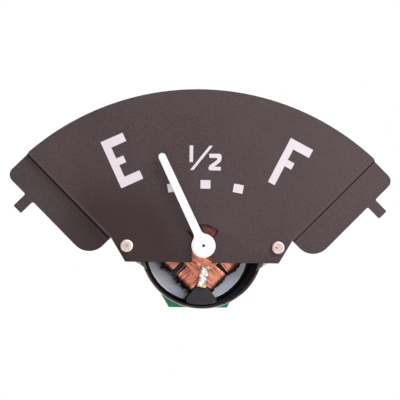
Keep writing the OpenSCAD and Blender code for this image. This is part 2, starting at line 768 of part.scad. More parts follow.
// Board stack behind the can
module board_outline() {
    half = [[board_edge_w / 2, -board_h], [board_w / 2, 0], [board_edge_w / 2, board_h]];
    translate([board_shift, 0]) polygon(concat(half, flip(half)));
}
module insulator_disc() color("#c8b48a") in_place() difference() {
    rod(can_back, insulator_back, floor_r);
    opening(can_back, insulator_back) pin_slots(pin_clearance);
    at_screws() hole(can_back, insulator_back, screw_hole_d / 2);
}
module board_spacers() color("#d8d2c0") in_place() at_screws() difference() {
    rod(insulator_back, board_front, spacer_d / 2);
    hole(insulator_back, board_front, screw_hole_d / 2);
}
module circuit_board() color("#1f8a58") in_place() difference() {
    slab(board_front, board_back) board_outline();
    opening(board_front, board_back) pin_slots(hole_clearance);
    at_screws() hole(board_front, board_back, screw_hole_d / 2);
    at_studs() hole(board_front, board_back, stud_d / 2 + hole_clearance);
    both_sides() translate([lead_x, -resistor_drop, 0])
        hole(board_front, board_back, lead_d / 2 + hole_clearance);
}
module movement_screws() color("#b5b3ae") in_place() at_screws() difference() {
    union() {
        rod(board_back - screw_len, board_back, screw_d / 2);
        rod(board_back, board_back + screw_head_t, screw_head_d / 2);
    }
    slab(board_back + screw_head_t - slot_h, board_back + screw_head_t + past)
        square([screw_head_d + past, slot_w], center = true);
}
module dropping_resistor() color("#b9a37c") in_place() {
    axis = board_back + resistor_lift + resistor_d / 2;
    translate([0, -resistor_drop, 0]) {
        translate([0, 0, -axis]) rotate([0, 90, 0]) {
            cylinder(h = resistor_len, r = resistor_d / 2, center = true);
            cylinder(h = 2 * lead_x, r = lead_d / 2, center = true);
        }
        both_sides() translate([lead_x, 0, 0]) {
            rod(board_front - lead_out, axis, lead_d / 2);
            translate([0, 0, -axis]) sphere(lead_d / 2);
        }
    }
}

// Studs and what clamps them to the board
module terminal_studs() color("#c2a466") in_place() at_studs() {
    rod(insulator_back, board_front, stud_head_d / 2);
    rod(board_front - eps, shoulder, stud_d / 2);
    translate([0, 0, -shoulder]) rotate([180, 0, 0]) rotate_extrude() polygon([
        [0, -eps], [terminal_d / 2, -eps], [terminal_d / 2, terminal_len - terminal_chamfer],
        [terminal_d / 2 - terminal_chamfer, terminal_len], [0, terminal_len]
    ]);
}
module flat_washers() color("#cbbf9a") in_place() at_studs() difference() {
    rod(board_back, washer_back, washer_d / 2);
    hole(board_back, washer_back, stud_d / 2 + hole_clearance);
}
module lock_washers() color("#a9a7a2") in_place() at_studs() difference() {
    rod(washer_back, lock_back, lock_d / 2);
    hole(washer_back, lock_back, stud_d / 2 + hole_clearance);
    opening(washer_back, lock_back) translate([0, -lock_slit / 2]) square([lock_d, lock_slit]);
}
module nut() translate([0, 0, -nut_back]) intersection() {
    corner_r = nut_w / 2 / cos(30);
    cylinder(h = nut_t, r = corner_r, $fn = 6);
    rotate_extrude() polygon([
        [0, 0], [nut_w / 2, 0], [corner_r + 0.1, nut_chamfer], [corner_r + 0.1, nut_t - nut_chamfer],
        [nut_w / 2, nut_t], [0, nut_t]
    ]);
}
module stud_nuts() color("#cdbf96") in_place() at_studs() difference() {
    nut();
    hole(lock_back, nut_back, stud_d / 2);
}

dial_plate();
dial_markings();
pointer();
pointer_sleeve();
spindle();
rotor_magnet();
front_bearing();
rear_bearing();
bobbin_front();
bobbin_rear();
inner_coil_upper();
inner_coil_lower();
outer_coil_upper();
outer_coil_lower();
terminal_tag_left();
terminal_tag_bottom();
terminal_tag_right();
return_magnet();
housing_can();
floor_plate();
dial_rivets();
insulator_disc();
board_spacers();
circuit_board();
movement_screws();
terminal_studs();
flat_washers();
lock_washers();
stud_nuts();
dropping_resistor();
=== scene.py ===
import json
import random
from math import cos, hypot, pi, radians, sin, sqrt

import bmesh
import bpy
from mathutils import Matrix, Vector
from mathutils.noise import noise, noise_vector


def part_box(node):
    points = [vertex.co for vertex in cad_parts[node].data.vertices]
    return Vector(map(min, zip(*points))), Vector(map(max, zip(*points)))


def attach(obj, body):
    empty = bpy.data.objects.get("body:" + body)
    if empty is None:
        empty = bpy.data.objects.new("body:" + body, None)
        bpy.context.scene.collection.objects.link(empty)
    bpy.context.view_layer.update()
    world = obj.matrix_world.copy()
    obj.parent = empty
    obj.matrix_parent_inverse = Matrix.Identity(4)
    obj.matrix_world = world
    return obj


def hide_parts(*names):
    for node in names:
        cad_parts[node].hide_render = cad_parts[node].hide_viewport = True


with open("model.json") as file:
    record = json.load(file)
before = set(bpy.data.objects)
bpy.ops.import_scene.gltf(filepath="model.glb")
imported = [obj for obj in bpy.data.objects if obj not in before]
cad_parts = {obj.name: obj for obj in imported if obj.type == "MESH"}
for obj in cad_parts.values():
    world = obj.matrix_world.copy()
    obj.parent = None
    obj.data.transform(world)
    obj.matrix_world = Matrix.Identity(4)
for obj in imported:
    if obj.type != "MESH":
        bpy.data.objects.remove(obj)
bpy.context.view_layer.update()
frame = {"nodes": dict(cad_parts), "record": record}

# Sizes are in millimetres. Meshes made here are modelled in the dial's own frame (x right, y up, z out of the
# dial towards the viewer) and then placed in the part's, in metres. CAD nodes are in metres already.
mm = 0.001
weld = 0.004  # vertices of a CAD mesh this close together are one
canSheet = 0.6  # thickness of the can's metal
nodes = frame["nodes"]
scene = bpy.context.scene
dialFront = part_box("dial_plate")[0].y
dialFrame = Matrix.Translation((0, dialFront, 0)) @ Matrix.Rotation(radians(90), 4, "X") @ Matrix.Scale(mm, 4)
mounts = {m["name"]: m for m in frame["record"]["mounts"]}


def depths(node):
    # how far a node's front and back lie behind the dial's face
    low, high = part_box(node)
    return (low.y - dialFront) / mm, (high.y - dialFront) / mm


def rgb(red, green, blue):
    # a colour as seen on a screen, 0 to 255, as the linear one that the shaders want
    shares = [c / 255 for c in (red, green, blue)]
    return tuple(c / 12.92 if c < 0.0404 else ((c + 0.055) / 1.055) ** 2.4 for c in shares)


# Shader maths

def maths(how):
    # an operator of Value, which adds a Math node
    return lambda self, other=0.0: self.shader.node("Math", {0: self, 1: other}, operation=how)


class Value:
    # something that varies over a surface
    def __init__(self, shader, socket):
        self.shader = shader
        self.socket = socket

    __add__ = maths("ADD")
    __sub__ = maths("SUBTRACT")
    __mul__ = maths("MULTIPLY")
    __truediv__ = maths("DIVIDE")
    __pow__ = maths("POWER")
    __gt__ = maths("GREATER_THAN")
    __abs__ = maths("ABSOLUTE")


class Shader:
    # a tree of nodes, built one by one
    def __init__(self, tree):
        self.tree = tree
        tree.nodes.clear()

    def node(self, kind, inputs=None, out=0, **settings):
        made = self.tree.nodes.new("ShaderNode" + kind)
        for key, value in settings.items():
            setattr(made, key, value)
        for key, value in (inputs or {}).items():
            socket = made.inputs[key]
            if isinstance(value, Value):
                self.tree.links.new(value.socket, socket)
            elif socket.type == "RGBA":
                socket.default_value = (*value, 1.0)
            else:
                socket.default_value = value
        return Value(self, made.outputs[out]) if out is not None else None

    def ray(self, *kinds):
        # 1 for rays of these kinds
        found = [self.node("LightPath", out=f"Is {kind} Ray") for kind in kinds]
        return sum(found[1:], found[0])

    def ease(self, value, low, high, start=0.0, end=1.0):
        # value from low to high becomes start to end, smoothly, and stays there beyond
        inputs = {"Value": value, "From Min": low, "From Max": high, "To Min": start, "To Max": end}
        return self.node("MapRange", inputs, interpolation_type="SMOOTHSTEP")


class Paint(Shader):
    # one material, whose colours are named in values
    def __init__(self, name, values=None):
        self.values = values
        self.material = bpy.data.materials.new(name)
        self.material.use_nodes = True
        super().__init__(self.material.node_tree)
        self.place = self.node("TexCoord", out="Object")

    def noiseAt(self, spot, scale, detail, rough):
        return self.node("TexNoise", {"Vector": spot, "Scale": scale, "Detail": detail, "Roughness": rough})

    def grain(self, size, detail=2.0, rough=0.5, stretch=(1, 1, 1)):
        # noise with features about size across
        spot = self.node("Mapping", {"Vector": self.place, "Scale": stretch})
        return self.noiseAt(spot, 1 / (size * mm), detail, rough)

    def cells(self, size):
        # distance from scattered points, for specks and pits
        return self.node("TexVoronoi", {"Vector": self.place, "Scale": 1 / (size * mm)})

    def spread(self, grain, start, end, other=None):
        # swings from start to end with a noise, or with the sum of two
        if other is None:
            return self.ease(grain, 0.3, 0.7, start, end)
        return self.ease(grain + other, 0.7, 1.3, start, end)

    def tint(self, share, *pair):
        # a mixture of two colours: mixtures themselves, named values or red, green and blue
        pair = [self.values[c] if isinstance(c, str) else c for c in pair]
        first, second = (c if isinstance(c, Value) else rgb(*c) for c in pair)
        return self.node("Mix", {0: share, 6: first, 7: second}, out=2, data_type="RGBA")

    def base(self, share, first, second):
        # the lowest coat of colour, a mixture of two
        self.colour = self.tint(share, first, second)

    def over(self, share, colour):
        # a colour laid over the coats before it
        self.base(share, self.colour, colour)

    def along(self, axis):
        # one coordinate in millimetres; 0 is to the right, 1 is backwards, 2 is up
        return self.node("SeparateXYZ", {0: self.place}, out=axis) / mm

    def radius(self, x=0.0, up=0.0):
        # distance from an axis that runs straight back through the dial
        return ((self.along(0) - x) ** 2.0 + (self.along(2) - up) ** 2.0) ** 0.5

    def relief(self, height, reach, strength=1.0, below=None):
        inputs = {"Height": height, "Distance": reach * mm, "Strength": strength}
        if below is not None:
            inputs["Normal"] = below
        return self.node("Bump", inputs)

    def end(self, shader):
        self.node("OutputMaterial", {"Surface": shader}, out=None)
        return self.material

    def finish(self, rough, relief, metallic=0.0, specular=0.5, coat=0.0):
        # rough is a roughness or the values for spread, relief the values for the method relief
        rough = self.spread(*rough) if isinstance(rough, tuple) else rough
        inputs = {"Base Color": self.colour, "Roughness": rough, "Normal": self.relief(*relief),
                  "Metallic": metallic, "Specular IOR Level": specular, "Coat Weight": coat}
        return self.end(self.node("BsdfPrincipled", inputs))


# Modelling helpers

broad = 5  # a face this many times larger than all its neighbours is a broad one


def stand(name, data):
    made = bpy.data.objects.new(name, data)
    scene.collection.objects.link(made)
    return made


def meshFrom(bm, name):
    mesh = bpy.data.meshes.new(name)
    bm.to_mesh(mesh)
    bm.free()
    return mesh


def newVerts(bm, make):
    # runs make and returns the vertices that it added
    before = set(bm.verts)
    make()
    return [v for v in bm.verts if v not in before]


def lathe(bm, profile, centre=(0, 0), steps=48):
    # spins (radius, depth) points about an axis that runs straight back through centre
    def turn():
        line = [bm.verts.new((r, 0, -d)) for r, d in profile]
        edges = [bm.edges.new(pair) for pair in zip(line, line[1:])]
        bmesh.ops.spin(bm, geom=line + edges, cent=(0, 0, 0), axis=(0, 0, 1), dvec=(0, 0, 0), angle=2 * pi,
                       steps=steps, use_merge=True, use_duplicate=False)
    made = newVerts(bm, turn)
    bmesh.ops.remove_doubles(bm, verts=made, dist=1e-5)
    made = [v for v in made if v.is_valid]
    bmesh.ops.translate(bm, verts=made, vec=(*centre, 0))
    return made


def placed(bm):
    # moves a mesh from the dial's frame to the part's, with its faces turned outwards
    bmesh.ops.recalc_face_normals(bm, faces=bm.faces)
    bmesh.ops.transform(bm, matrix=dialFrame, verts=bm.verts)
    return bm


def piece(bm, name, paints, replaces=(), body="gauge_body", crease=35):
    # turns a mesh into a finished piece that rides on its body
    for face in bm.faces:
        # a broad flat face keeps its own plane, the small ones at its corners round off
        around = [f.calc_area() for e in face.edges for f in e.link_faces if f is not face]
        face.smooth = face.calc_area() < broad * max(around, default=0)
    for edge in bm.edges:
        edge.smooth = edge.calc_face_angle(0) < radians(crease)
    mesh = meshFrom(bm, name)
    made = stand(name, mesh)
    for paint in paints:
        mesh.materials.append(paint)
    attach(made, body)
    if replaces:
        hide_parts(*replaces)


def coat(paint, *names):
    # gives CAD nodes that stay as they are one of the finishes here
    for name in names:
        slots = nodes[name].data.materials
        slots.clear()
        slots.append(paint)


def softened(node, width, sharp=24):
    # a copy of a CAD node with its corners eased by width
    bm = bmesh.new()
    bm.from_mesh(nodes[node].data)
    bmesh.ops.remove_doubles(bm, verts=bm.verts, dist=weld * mm)
    bmesh.ops.dissolve_limit(bm, angle_limit=radians(0.5), verts=bm.verts, edges=bm.edges)
    corners = [e for e in bm.edges if e.is_manifold and e.calc_face_angle(0) > radians(sharp)]
    bmesh.ops.bevel(bm, geom=corners, offset=width * mm, offset_type="OFFSET", segments=2, profile=0.5,
                    affect="EDGES", clamp_overlap=True, material=-1)
    return bm


def wires(routes, thickness, sides=2):
    # round wires along lists of points, each route with a flag that says whether it closes on itself
    curve = bpy.data.curves.new("wires", "CURVE")
    curve.dimensions = "3D"
    curve.bevel_depth = thickness / 2
    curve.bevel_resolution = sides
    curve.use_fill_caps = True
    for points, closed in routes:
        spline = curve.splines.new("POLY")
        spline.points.add(len(points) - 1)
        for spot, point in zip(spline.points, points):
            spot.co = (*point, 1.0)
        spline.use_cyclic_u = closed
    holder = stand("wires", curve)
    mesh = bpy.data.meshes.new_from_object(holder.evaluated_get(bpy.context.evaluated_depsgraph_get()))
    bm = bmesh.new()
    bm.from_mesh(mesh)
    bpy.data.objects.remove(holder)
    bpy.data.curves.remove(curve)
    bpy.data.meshes.remove(mesh)
    return bm


print("Camera")

# The view was found by laying the dial's outline over the photograph; the angles are in degrees
view = {"distance": 400, "fromLeft": 5.93, "fromBelow": 3.95, "aimLeft": 5.83, "aimUp": 5.605, "roll": 0.366,
        "lens": 144.5, "sensor": 36, "near": 10, "far": 20000}


def lookingBack(left, below):
    # unit vector from the dial towards a viewer who stands to the left and below
    a = radians(left)
    e = radians(below)
    return Vector((-sin(a) * cos(e), -cos(a) * cos(e), -sin(e)))


cameraData = bpy.data.cameras.new("camera")
cameraData.lens = view["lens"]
cameraData.sensor_width = view["sensor"]
cameraData.clip_start = view["near"] * mm
cameraData.clip_end = view["far"] * mm
camera = stand("camera", cameraData)
away = lookingBack(view["fromLeft"], view["fromBelow"]) * view["distance"] * mm
camera.location = Vector((0, dialFront, 0)) + away
aim = -lookingBack(view["aimLeft"], view["aimUp"])
camera.rotation_mode = "QUATERNION"
turned = aim.to_track_quat("-Z", "Y")
camera.rotation_quaternion = Matrix.Rotation(radians(-view["roll"]), 4, aim).to_quaternion() @ turned
scene.camera = camera

print("Dial plate")

# Painted light on the dial: a painted shade at the lower left, a painted light at the top right, painted
# highlights along the wings' bends and a painted shade in their steps
dial = {"corner": 0.1, "wingSlope": 45, "wingStart": 17.3, "bend": 15.0, "joggle": 0.4, "paint": (70, 57, 59),
        "paintDark": (65, 52, 54), "worn": (103, 90, 90), "crease": (34, 25, 27), "paintedBendHighlight": (84, 71, 72),
        "speck": (150, 142, 138), "dull": (28, 4, 6), "paintedShadeShare": 0.62, "paintedShadeAcross": (-9.5, -0.5),
        "paintedShadeUp": (5, 26), "paintedShadeLeft": (-42, -25), "paintedLightShare": 0.13, "paintedLightFrom": (20, 40),
        "bare": (148, 146, 143), "bareDark": (132, 129, 126), "bareStreak": (116, 112, 108),
        "bareSpot": (104, 94, 84)}


def dialPaint():
    p = Paint("dial_paint", dial)
    right = p.along(0)
    up = p.along(2)
    patches = p.grain(22, 3)
    fine = p.grain(0.36, 2, 0.7)
    specks = p.ease(p.cells(0.9), 0.05, 0.09, 1, 0) * p.ease(p.grain(2.5, 1), 0.55, 0.7)
    p.base(p.ease(patches, 0.35, 0.65), "paintDark", "paint")
    p.over(p.ease(fine, 0.5, 0.66, 0, 0.34), "worn")
    p.over(p.ease(fine, 0.36, 0.48, 0.22, 0), "crease")
    p.over(specks * 0.35, "speck")
    # a painted shade at the lower left, beside the wing
    dull = p.ease(right * 0.9 + up * 0.44, *dial["paintedShadeAcross"], 1, 0)
    dull = dull * p.ease(up, *dial["paintedShadeUp"], 1, 0) * p.ease(right, *dial["paintedShadeLeft"])
    p.over(dull * dial["paintedShadeShare"], "dull")
    # and a painted light towards the top right, in the colour of the worn grain
    light = p.ease(right * 0.6 + up * 0.8, *dial["paintedLightFrom"], 0, dial["paintedLightShare"])
    p.over(light, "worn")
    # both wings at once: out is the distance from the spindle across the bend line
    slope = radians(dial["wingSlope"])
    out = abs(right) * sin(slope) - up * cos(slope)
    onWing = abs(right) * cos(slope) + up * sin(slope) > dial["wingStart"]
    wave = p.grain(1.6, 2) * 0.08
    # painted highlights along the two bends of each joggle, and a painted shade in the step between them
    crest = p.ease(abs(out + wave - dial["bend"] + 0.28), 0.1, 0.45, 1, 0)
    foot = p.ease(abs(out + wave - dial["bend"] - dial["joggle"] - 0.42), 0.1, 0.5, 0.7, 0)
    fromRiser = abs(out - dial["bend"] - dial["joggle"] / 2)
    riser = p.ease(fromRiser, dial["joggle"] * 0.3, dial["joggle"] * 0.7, 0.85, 0)
    p.over((crest + foot) * onWing * 0.5, "paintedBendHighlight")
    p.over(riser * onWing, "crease")
    orange = p.relief(p.grain(0.5, 1), 0.02, 0.5)
    return p.finish((fine, 0.58, 0.72), (fine, 0.03, 0.7, orange), specular=0.2)


def bareSheet():
    p = Paint("bare_sheet", dial)
    rolled = p.grain(0.5, 4, 0.6, (0.06, 1, 1))
    stain = p.grain(14, 2, 0.45)
    spots = p.ease(p.cells(3.5), 0.06, 0.16, 1, 0) * p.ease(p.grain(5, 2), 0.5, 0.6)
    p.base(p.spread(stain, 0, 1), "bare", "bareDark")
    p.over(p.ease(rolled, 0.35, 0.7, 0, 0.25), "bareStreak")
    p.over(spots * 0.4, "bareSpot")
    return p.finish((rolled, 0.4, 0.52, stain), (rolled, 0.008, 0.5), metallic=0.75)


bm = softened("dial_plate", dial["corner"])
for face in bm.faces:
    face.material_index = 1 if face.normal.y > 0.6 else 0
piece(bm, "painted_dial", [dialPaint(), bareSheet()], ["dial_plate"])

print("Printed marks")

ink = {"colour": (218, 209, 216), "thin": (197, 187, 194), "pinhole": (150, 140, 142)}


def dialInk():
    p = Paint("dial_ink", ink)
    film = p.grain(0.35, 3, 0.6)
    pinholes = p.ease(p.cells(0.55), 0.03, 0.07, 1, 0)
    p.base(p.ease(film, 0.5, 0.75, 0, 0.5), "colour", "thin")
    p.over(pinholes * 0.25, "pinhole")
    return p.finish(0.6, (film, 0.012, 0.6))


coat(dialInk(), "dial_markings")

print("Pointer")

# the hole's colour, a painted shade, also covers the spindle's end, which shows in it; holeFloor is its depth
needle = {"corner": 0.07, "white": (236, 234, 236), "warm": (230, 218, 220), "ring": (236, 200, 206),
          "ringRadius": 2.65, "ringWidth": 0.1, "hole": (62, 36, 32), "holeEdge": (0.34, 0.42),
          "holeFloor": (-2.0, -1.7)}
turnedBrass = {"patch": (1.5, 4, 0.65), "fine": (0.25, 3, 0.6, (1, 6, 1)), "darken": (0.45, 0.75, 0, 1),
               "light": (206, 172, 104), "dark": (134, 96, 48), "metallic": 1.0, "sheen": (0.22, 0.42),
               "relief": 0.008}
steel = {"light": (200, 200, 204), "dark": (150, 150, 156)}
ferrite = {"dark": (48, 48, 52), "light": (88, 86, 88)}


def pointerPaint():
    p = Paint("pointer_paint", needle)
    sheen = p.grain(1.4, 3, 0.6)
    fine = p.grain(0.15, 2, 0.5)
    ring = p.ease(abs(p.radius() - needle["ringRadius"]), 0.0, needle["ringWidth"], 1, 0)
    p.base(p.ease(sheen, 0.45, 0.7, 0, 0.25), "white", "warm")
    p.over(ring * 0.55, "ring")
    # painted shade in the hole at the middle
    p.over(p.ease(p.radius(), *needle["holeEdge"], 1, 0), "hole")
    return p.finish((sheen, 0.42, 0.55), (fine, 0.01, 0.5))


def patchyMetal(name, look):
    # a metal with patches in a darker tone and fine marks
    p = Paint(name, look)
    patch = p.grain(*look["patch"])
    fine = p.grain(*look["fine"])
    p.base(p.ease(patch, *look["darken"]), "light", "dark")
    return p.finish((patch, *look["sheen"], fine), (fine, look["relief"], 0.5), metallic=look["metallic"])


def groundSteel():
    p = Paint("ground_steel", steel)
    lines = p.grain(0.12, 3, 0.6, (1, 5, 1))
    p.base(lines, "light", "dark")
    # painted shade on the spindle's end, down in the pointer's hole
    endInShade = p.ease(p.along(1) - dialFront / mm, *needle["holeFloor"], 1, 0)
    p.over(endInShade, needle["hole"])
    return p.finish((lines, 0.18, 0.34), (lines, 0.005, 0.5), metallic=0.9)


def sinteredFerrite():
    p = Paint("sintered_ferrite", ferrite)
    pits = p.grain(0.3, 5, 0.75)
    p.base(pits, "dark", "light")
    return p.finish((pits, 0.45, 0.75), (pits, 0.03, 0.6), metallic=0.2)


piece(softened("pointer", needle["corner"]), "white_pointer", [pointerPaint()], ["pointer"],
      body="pointer_assembly")
coat(groundSteel(), "spindle")
coat(patchyMetal("turned_brass", turnedBrass), "pointer_sleeve", "front_bearing", "rear_bearing")
coat(sinteredFerrite(), "rotor_magnet", "return_magnet")

print("Rivets")

rivet = {"y": -0.15, "headRadius": 1.6, "height": 0.85, "edge": 0.32, "dish": 0.06, "crown": 0.8, "shank": 1.0,
         "tailRadius": 1.5, "tailHeight": 0.7, "dimpleDepth": 0.08, "rings": 9, "face": (176, 158, 152),
         "faceDull": (164, 145, 140), "paintedRimHighlight": (246, 236, 230), "pit": (92, 72, 70)}
rivet["x"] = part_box("dial_rivets")[1].x / mm - rivet["headRadius"]
# a pit in each head, left and right, darkened with painted shade: x and y, radius and how dark it is
rivet["pits"] = [(-rivet["x"], rivet["y"] + 0.08, 0.4, 0.35), (rivet["x"] - 0.42, rivet["y"], 0.34, 0.95)]


def rivetMetal():
    p = Paint("rivet_metal", rivet)
    dull = p.grain(1.6, 3, 0.5)
    fine = p.grain(0.12, 2, 0.6)
    up = p.along(2) - rivet["y"]
    reach = ((abs(p.along(0)) - rivet["x"]) ** 2.0 + up ** 2.0) ** 0.5
    flat = rivet["headRadius"] - rivet["edge"]
    # a painted highlight on the rim at the upper right of each head
    side = p.node("Math", {0: p.along(0)}, operation="SIGN")
    lit = (p.along(0) - side * rivet["x"]) * 0.8 + up * 0.6
    rim = p.ease(reach, flat - 0.08, flat + 0.06) * p.ease(lit, -0.4, 1.0, 0.1, 1)
    p.base(p.ease(dull, 0.35, 0.7), "face", "faceDull")
    p.over(rim, "paintedRimHighlight")
    # painted shade in the pits
    for x, y, size, share in rivet["pits"]:
        p.over(p.ease(p.radius(x, y), size * 0.3, size, share, 0), "pit")
    return p.finish(p.spread(dull, 0.4, 0.5, fine) - rim * 0.2, (fine, 0.005, 0.4), metallic=0.6)


tailFront = depths("housing_can")[0] + canSheet
tailBack = tailFront + rivet["tailHeight"]
radius, height, edge, rings = (rivet[key] for key in ("headRadius", "height", "edge", "rings"))
crown = [(radius * i / rings * rivet["crown"], rivet["dish"] * (1 - i / rings) - height)
         for i in range(rings + 1)]
rim = [(radius - edge * (1 - sin(a)), edge * (1 - cos(a)) - height)
       for a in map(radians, range(0, 91, 15))]
tail = [(radius, 0), (rivet["shank"], 0), (rivet["shank"], tailFront), (rivet["tailRadius"], tailFront),
        (rivet["tailRadius"], tailFront + rivet["tailHeight"] * 0.6), (rivet["tailRadius"] * 0.8, tailBack),
        (0, tailBack)]
bm = bmesh.new()
for side, pit in zip((-1, 1), rivet["pits"]):
    for v in lathe(bm, crown + rim + tail, (side * rivet["x"], rivet["y"]), 40):
        reach = hypot(v.co.x - pit[0], v.co.y - pit[1]) / pit[2]
        if v.co.z > height * 0.8 and reach < 1:
            v.co.z -= rivet["dimpleDepth"] * (1 - reach * reach)
piece(placed(bm), "dial_rivet_heads", [rivetMetal()], ["dial_rivets"])

print("Can")

# brownFrom and brownTo are radii on the cut edge, earShadowAndFilm one on the ears, inside which a dark film
# and a painted shadow of the dial lie; floorFrom is a depth. Beyond the radius cutFrom, level edges that are
# shorter than longest get cuts.
can = {"corner": 0.09, "plate": (196, 192, 190), "plateDull": (150, 146, 146), "black": (17, 18, 26),
       "blackWorn": (24, 25, 34), "rimBrown": (74, 40, 35), "brownFrom": 15.12, "brownTo": 15.42,
       "brownBlur": 0.06, "floorFrom": 6, "brownRight": (9, 13), "brownMore": 0.3, "film": (34, 26, 28),
       "pale": (206, 196, 190), "pink": (158, 138, 132), "earShadowAndFilm": (16.0, 16.4), "earPale": (1, 3),
       "cuts": 3, "cutFrom": 12, "longest": 3, "level": 0.003}
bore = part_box("housing_can")[1].z / mm - canSheet


def platedOutside():
    p = Paint("plated_outside", can)
    spangle = p.grain(7, 2, 0.45)
    fine = p.grain(0.2, 3, 0.7)
    drawn = p.grain(0.45, 3, 0.6, (1, 0.08, 1))
    p.base(p.spread(spangle, 0, 0.4), "plate", "plateDull")
    p.over(p.ease(drawn, 0.4, 0.75, 0, 0.3), "plateDull")
    return p.finish((spangle, 0.32, 0.44, fine), (drawn + fine * 0.4, 0.012, 0.5), metallic=0.8)


def blackInside():
    p = Paint("black_inside", can)
    film = p.grain(4.0, 2, 0.5)
    p.base(p.ease(film, 0.35, 0.75), "black", "blackWorn")
    return p.finish((film, 0.5, 0.56), (film, 0.02, 0.2), specular=0.2)


def cutRim():
    p = Paint("cut_rim", can)
    edge = p.radius() + p.grain(1.1, 3, 0.6) * 0.12
    brown = p.ease(edge, can["brownFrom"], can["brownFrom"] + can["brownBlur"])
    p.base(brown, "black", "rimBrown")
    # the brown reaches further out on the right
    outer = edge - p.ease(p.along(0), *can["brownRight"], 0, can["brownMore"])
    bright = p.ease(outer, can["brownTo"], can["brownTo"] + can["brownBlur"])
    p.over(bright, "plate")
    return p.finish((p.grain(0.3), 0.45, 0.65), (p.grain(0.2), 0.02, 0.5), metallic=0.1, specular=0.15)


def earFilmAndShadow():
    p = Paint("ear_film_and_shadow", can)
    cloud = p.grain(1.0, 4, 0.65)
    p.base(p.ease(p.along(0) + cloud * 4, *can["earPale"]), "pink", "pale")
    # dark film with a painted shadow of the dial on it, towards the inside of the ears
    p.over(p.ease(p.radius() + cloud * 0.6, *can["earShadowAndFilm"], 0.95, 0), "film")
    return p.finish((cloud, 0.4, 0.6), (p.grain(0.3, 3), 0.02, 0.6), metallic=0.2)


def rounder(bm):
    # cuts every edge that runs round the main axis, and sets the new points on its circle
    ring = bm.verts.layers.float.new("ring")
    for v in bm.verts:
        v[ring] = hypot(v.co.x, v.co.z)
    edges = []
    for edge in bm.edges:
        first, last = edge.verts
        uneven = max(abs(first[ring] - last[ring]), abs(first.co.y - last.co.y))
        short = edge.calc_length() < can["longest"] * mm
        if short and uneven < can["level"] * mm and first[ring] > can["cutFrom"] * mm:
            edges.append(edge)
    bmesh.ops.subdivide_edges(bm, edges=edges, cuts=can["cuts"], use_grid_fill=True)
    for v in bm.verts:
        grow = v[ring] / max(hypot(v.co.x, v.co.z), 1e-9)
        v.co.x *= grow
        v.co.z *= grow
    bm.verts.layers.float.remove(ring)


bm = softened("housing_can", can["corner"], sharp=30)
rounder(bm)
canFront, canBack = depths("housing_can")
rimDepth = canFront + canSheet
outside, inside, cutEdge, ears = range(4)
for face in bm.faces:
    spot = face.calc_center_median()
    way = face.normal
    r = hypot(spot.x, spot.z) / mm
    depth = (spot.y - dialFront) / mm
    outward = (way.x * spot.x + way.z * spot.z) / max(r * mm, 1e-9)
    floorInside = can["floorFrom"] < depth < canBack - canSheet / 2 and way.y < -0.5 and r < bore
    face.material_index = outside
    if r < bore + 0.02 and depth > rimDepth - 0.05 and (outward < -0.3 or floorInside):
        face.material_index = inside
    elif abs(depth - rimDepth) < 0.12 and way.y < -0.3:
        face.material_index = cutEdge
    elif abs(depth - canFront) < 0.02 and way.y < -0.9:
        face.material_index = ears
piece(bm, "drawn_can", [platedOutside(), blackInside(), cutRim(), earFilmAndShadow()], ["housing_can"])

print("Floor plate")

# shadeFrom and shadeTo are heights: a painted shadow of the dial darkens the plate under it
floorPlate = {"light": (195, 196, 210), "grey": (110, 110, 121), "greyFrom": 4.5, "rim": (228, 228, 236),
              "rimHighlightWidth": 0.3, "shade": (60, 58, 68), "shadeFrom": -8.5, "shadeTo": -4.8}
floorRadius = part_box("floor_plate")[1].x / mm


def satinFloor():
    p = Paint("satin_floor", floorPlate)
    brushed = p.grain(0.5, 4, 0.6, (0.2, 1, 2))
    cloud = p.grain(6, 3, 0.6)
    right = p.along(0) * 0.08
    # lighter towards the outer edge and to the right, a painted light; greyer in the middle
    outer = p.ease(p.radius() + right, floorRadius - floorPlate["greyFrom"], floorRadius + 0.4)
    p.base(outer * 0.8 + p.spread(cloud, 0, 0.2), "grey", "light")
    # a painted highlight round the edge
    rimHighlightFrom = floorRadius - floorPlate["rimHighlightWidth"]
    p.over(p.ease(p.radius(), rimHighlightFrom - 0.1, rimHighlightFrom + 0.1) * 0.8, "rim")
    # painted shadow of the dial
    shade = p.ease(p.along(2) + right, floorPlate["shadeFrom"], floorPlate["shadeTo"], 0, 0.5)
    p.over(shade, "shade")
    return p.finish((cloud, 0.36, 0.52, brushed), (brushed, 0.008, 0.5), metallic=0.2)


coat(satinFloor(), "floor_plate")

print("Bobbin")

# deepFrom is how far behind the dial a painted shade darkens it; the bottom tag's seat, darkened with painted
# shade, lies seatDown below the spindle
bobbin = {"corner": 0.16, "black": (31, 25, 32), "worn": (38, 32, 39), "speck": (190, 188, 192),
          "deep": (14, 12, 14), "deepFrom": (2.5, 3.4), "seatDown": 9.35, "seatRadius": (1.25, 1.6),
          "seatLeft": 0.12, "seatHalf": (1.0, 1.25)}


def mouldedBlack():
    p = Paint("moulded_black", bobbin)
    skin = p.grain(0.35, 3, 0.6)
    cloud = p.grain(3, 3, 0.6)
    specks = p.ease(p.cells(1.1), 0.07, 0.11, 1, 0) * p.ease(p.grain(2.1, 1), 0.46, 0.52)
    p.base(p.ease(cloud, 0.35, 0.7), "black", "worn")
    p.over(specks * 0.7, "speck")
    # painted shade, deeper behind the dial
    p.over(p.ease(p.along(1) - dialFront / mm, *bobbin["deepFrom"]), "deep")
    # painted shade where the bottom tag's foot sits
    seat = p.ease(p.radius(0.0, -bobbin["seatDown"]), *bobbin["seatRadius"], 1, 0)
    seat = seat * p.ease(abs(p.along(0) + bobbin["seatLeft"]), *bobbin["seatHalf"], 1, 0)
    p.over(seat * 0.8, "deep")
    return p.finish((skin, 0.55, 0.7), (skin, 0.02, 0.6), specular=0.25)


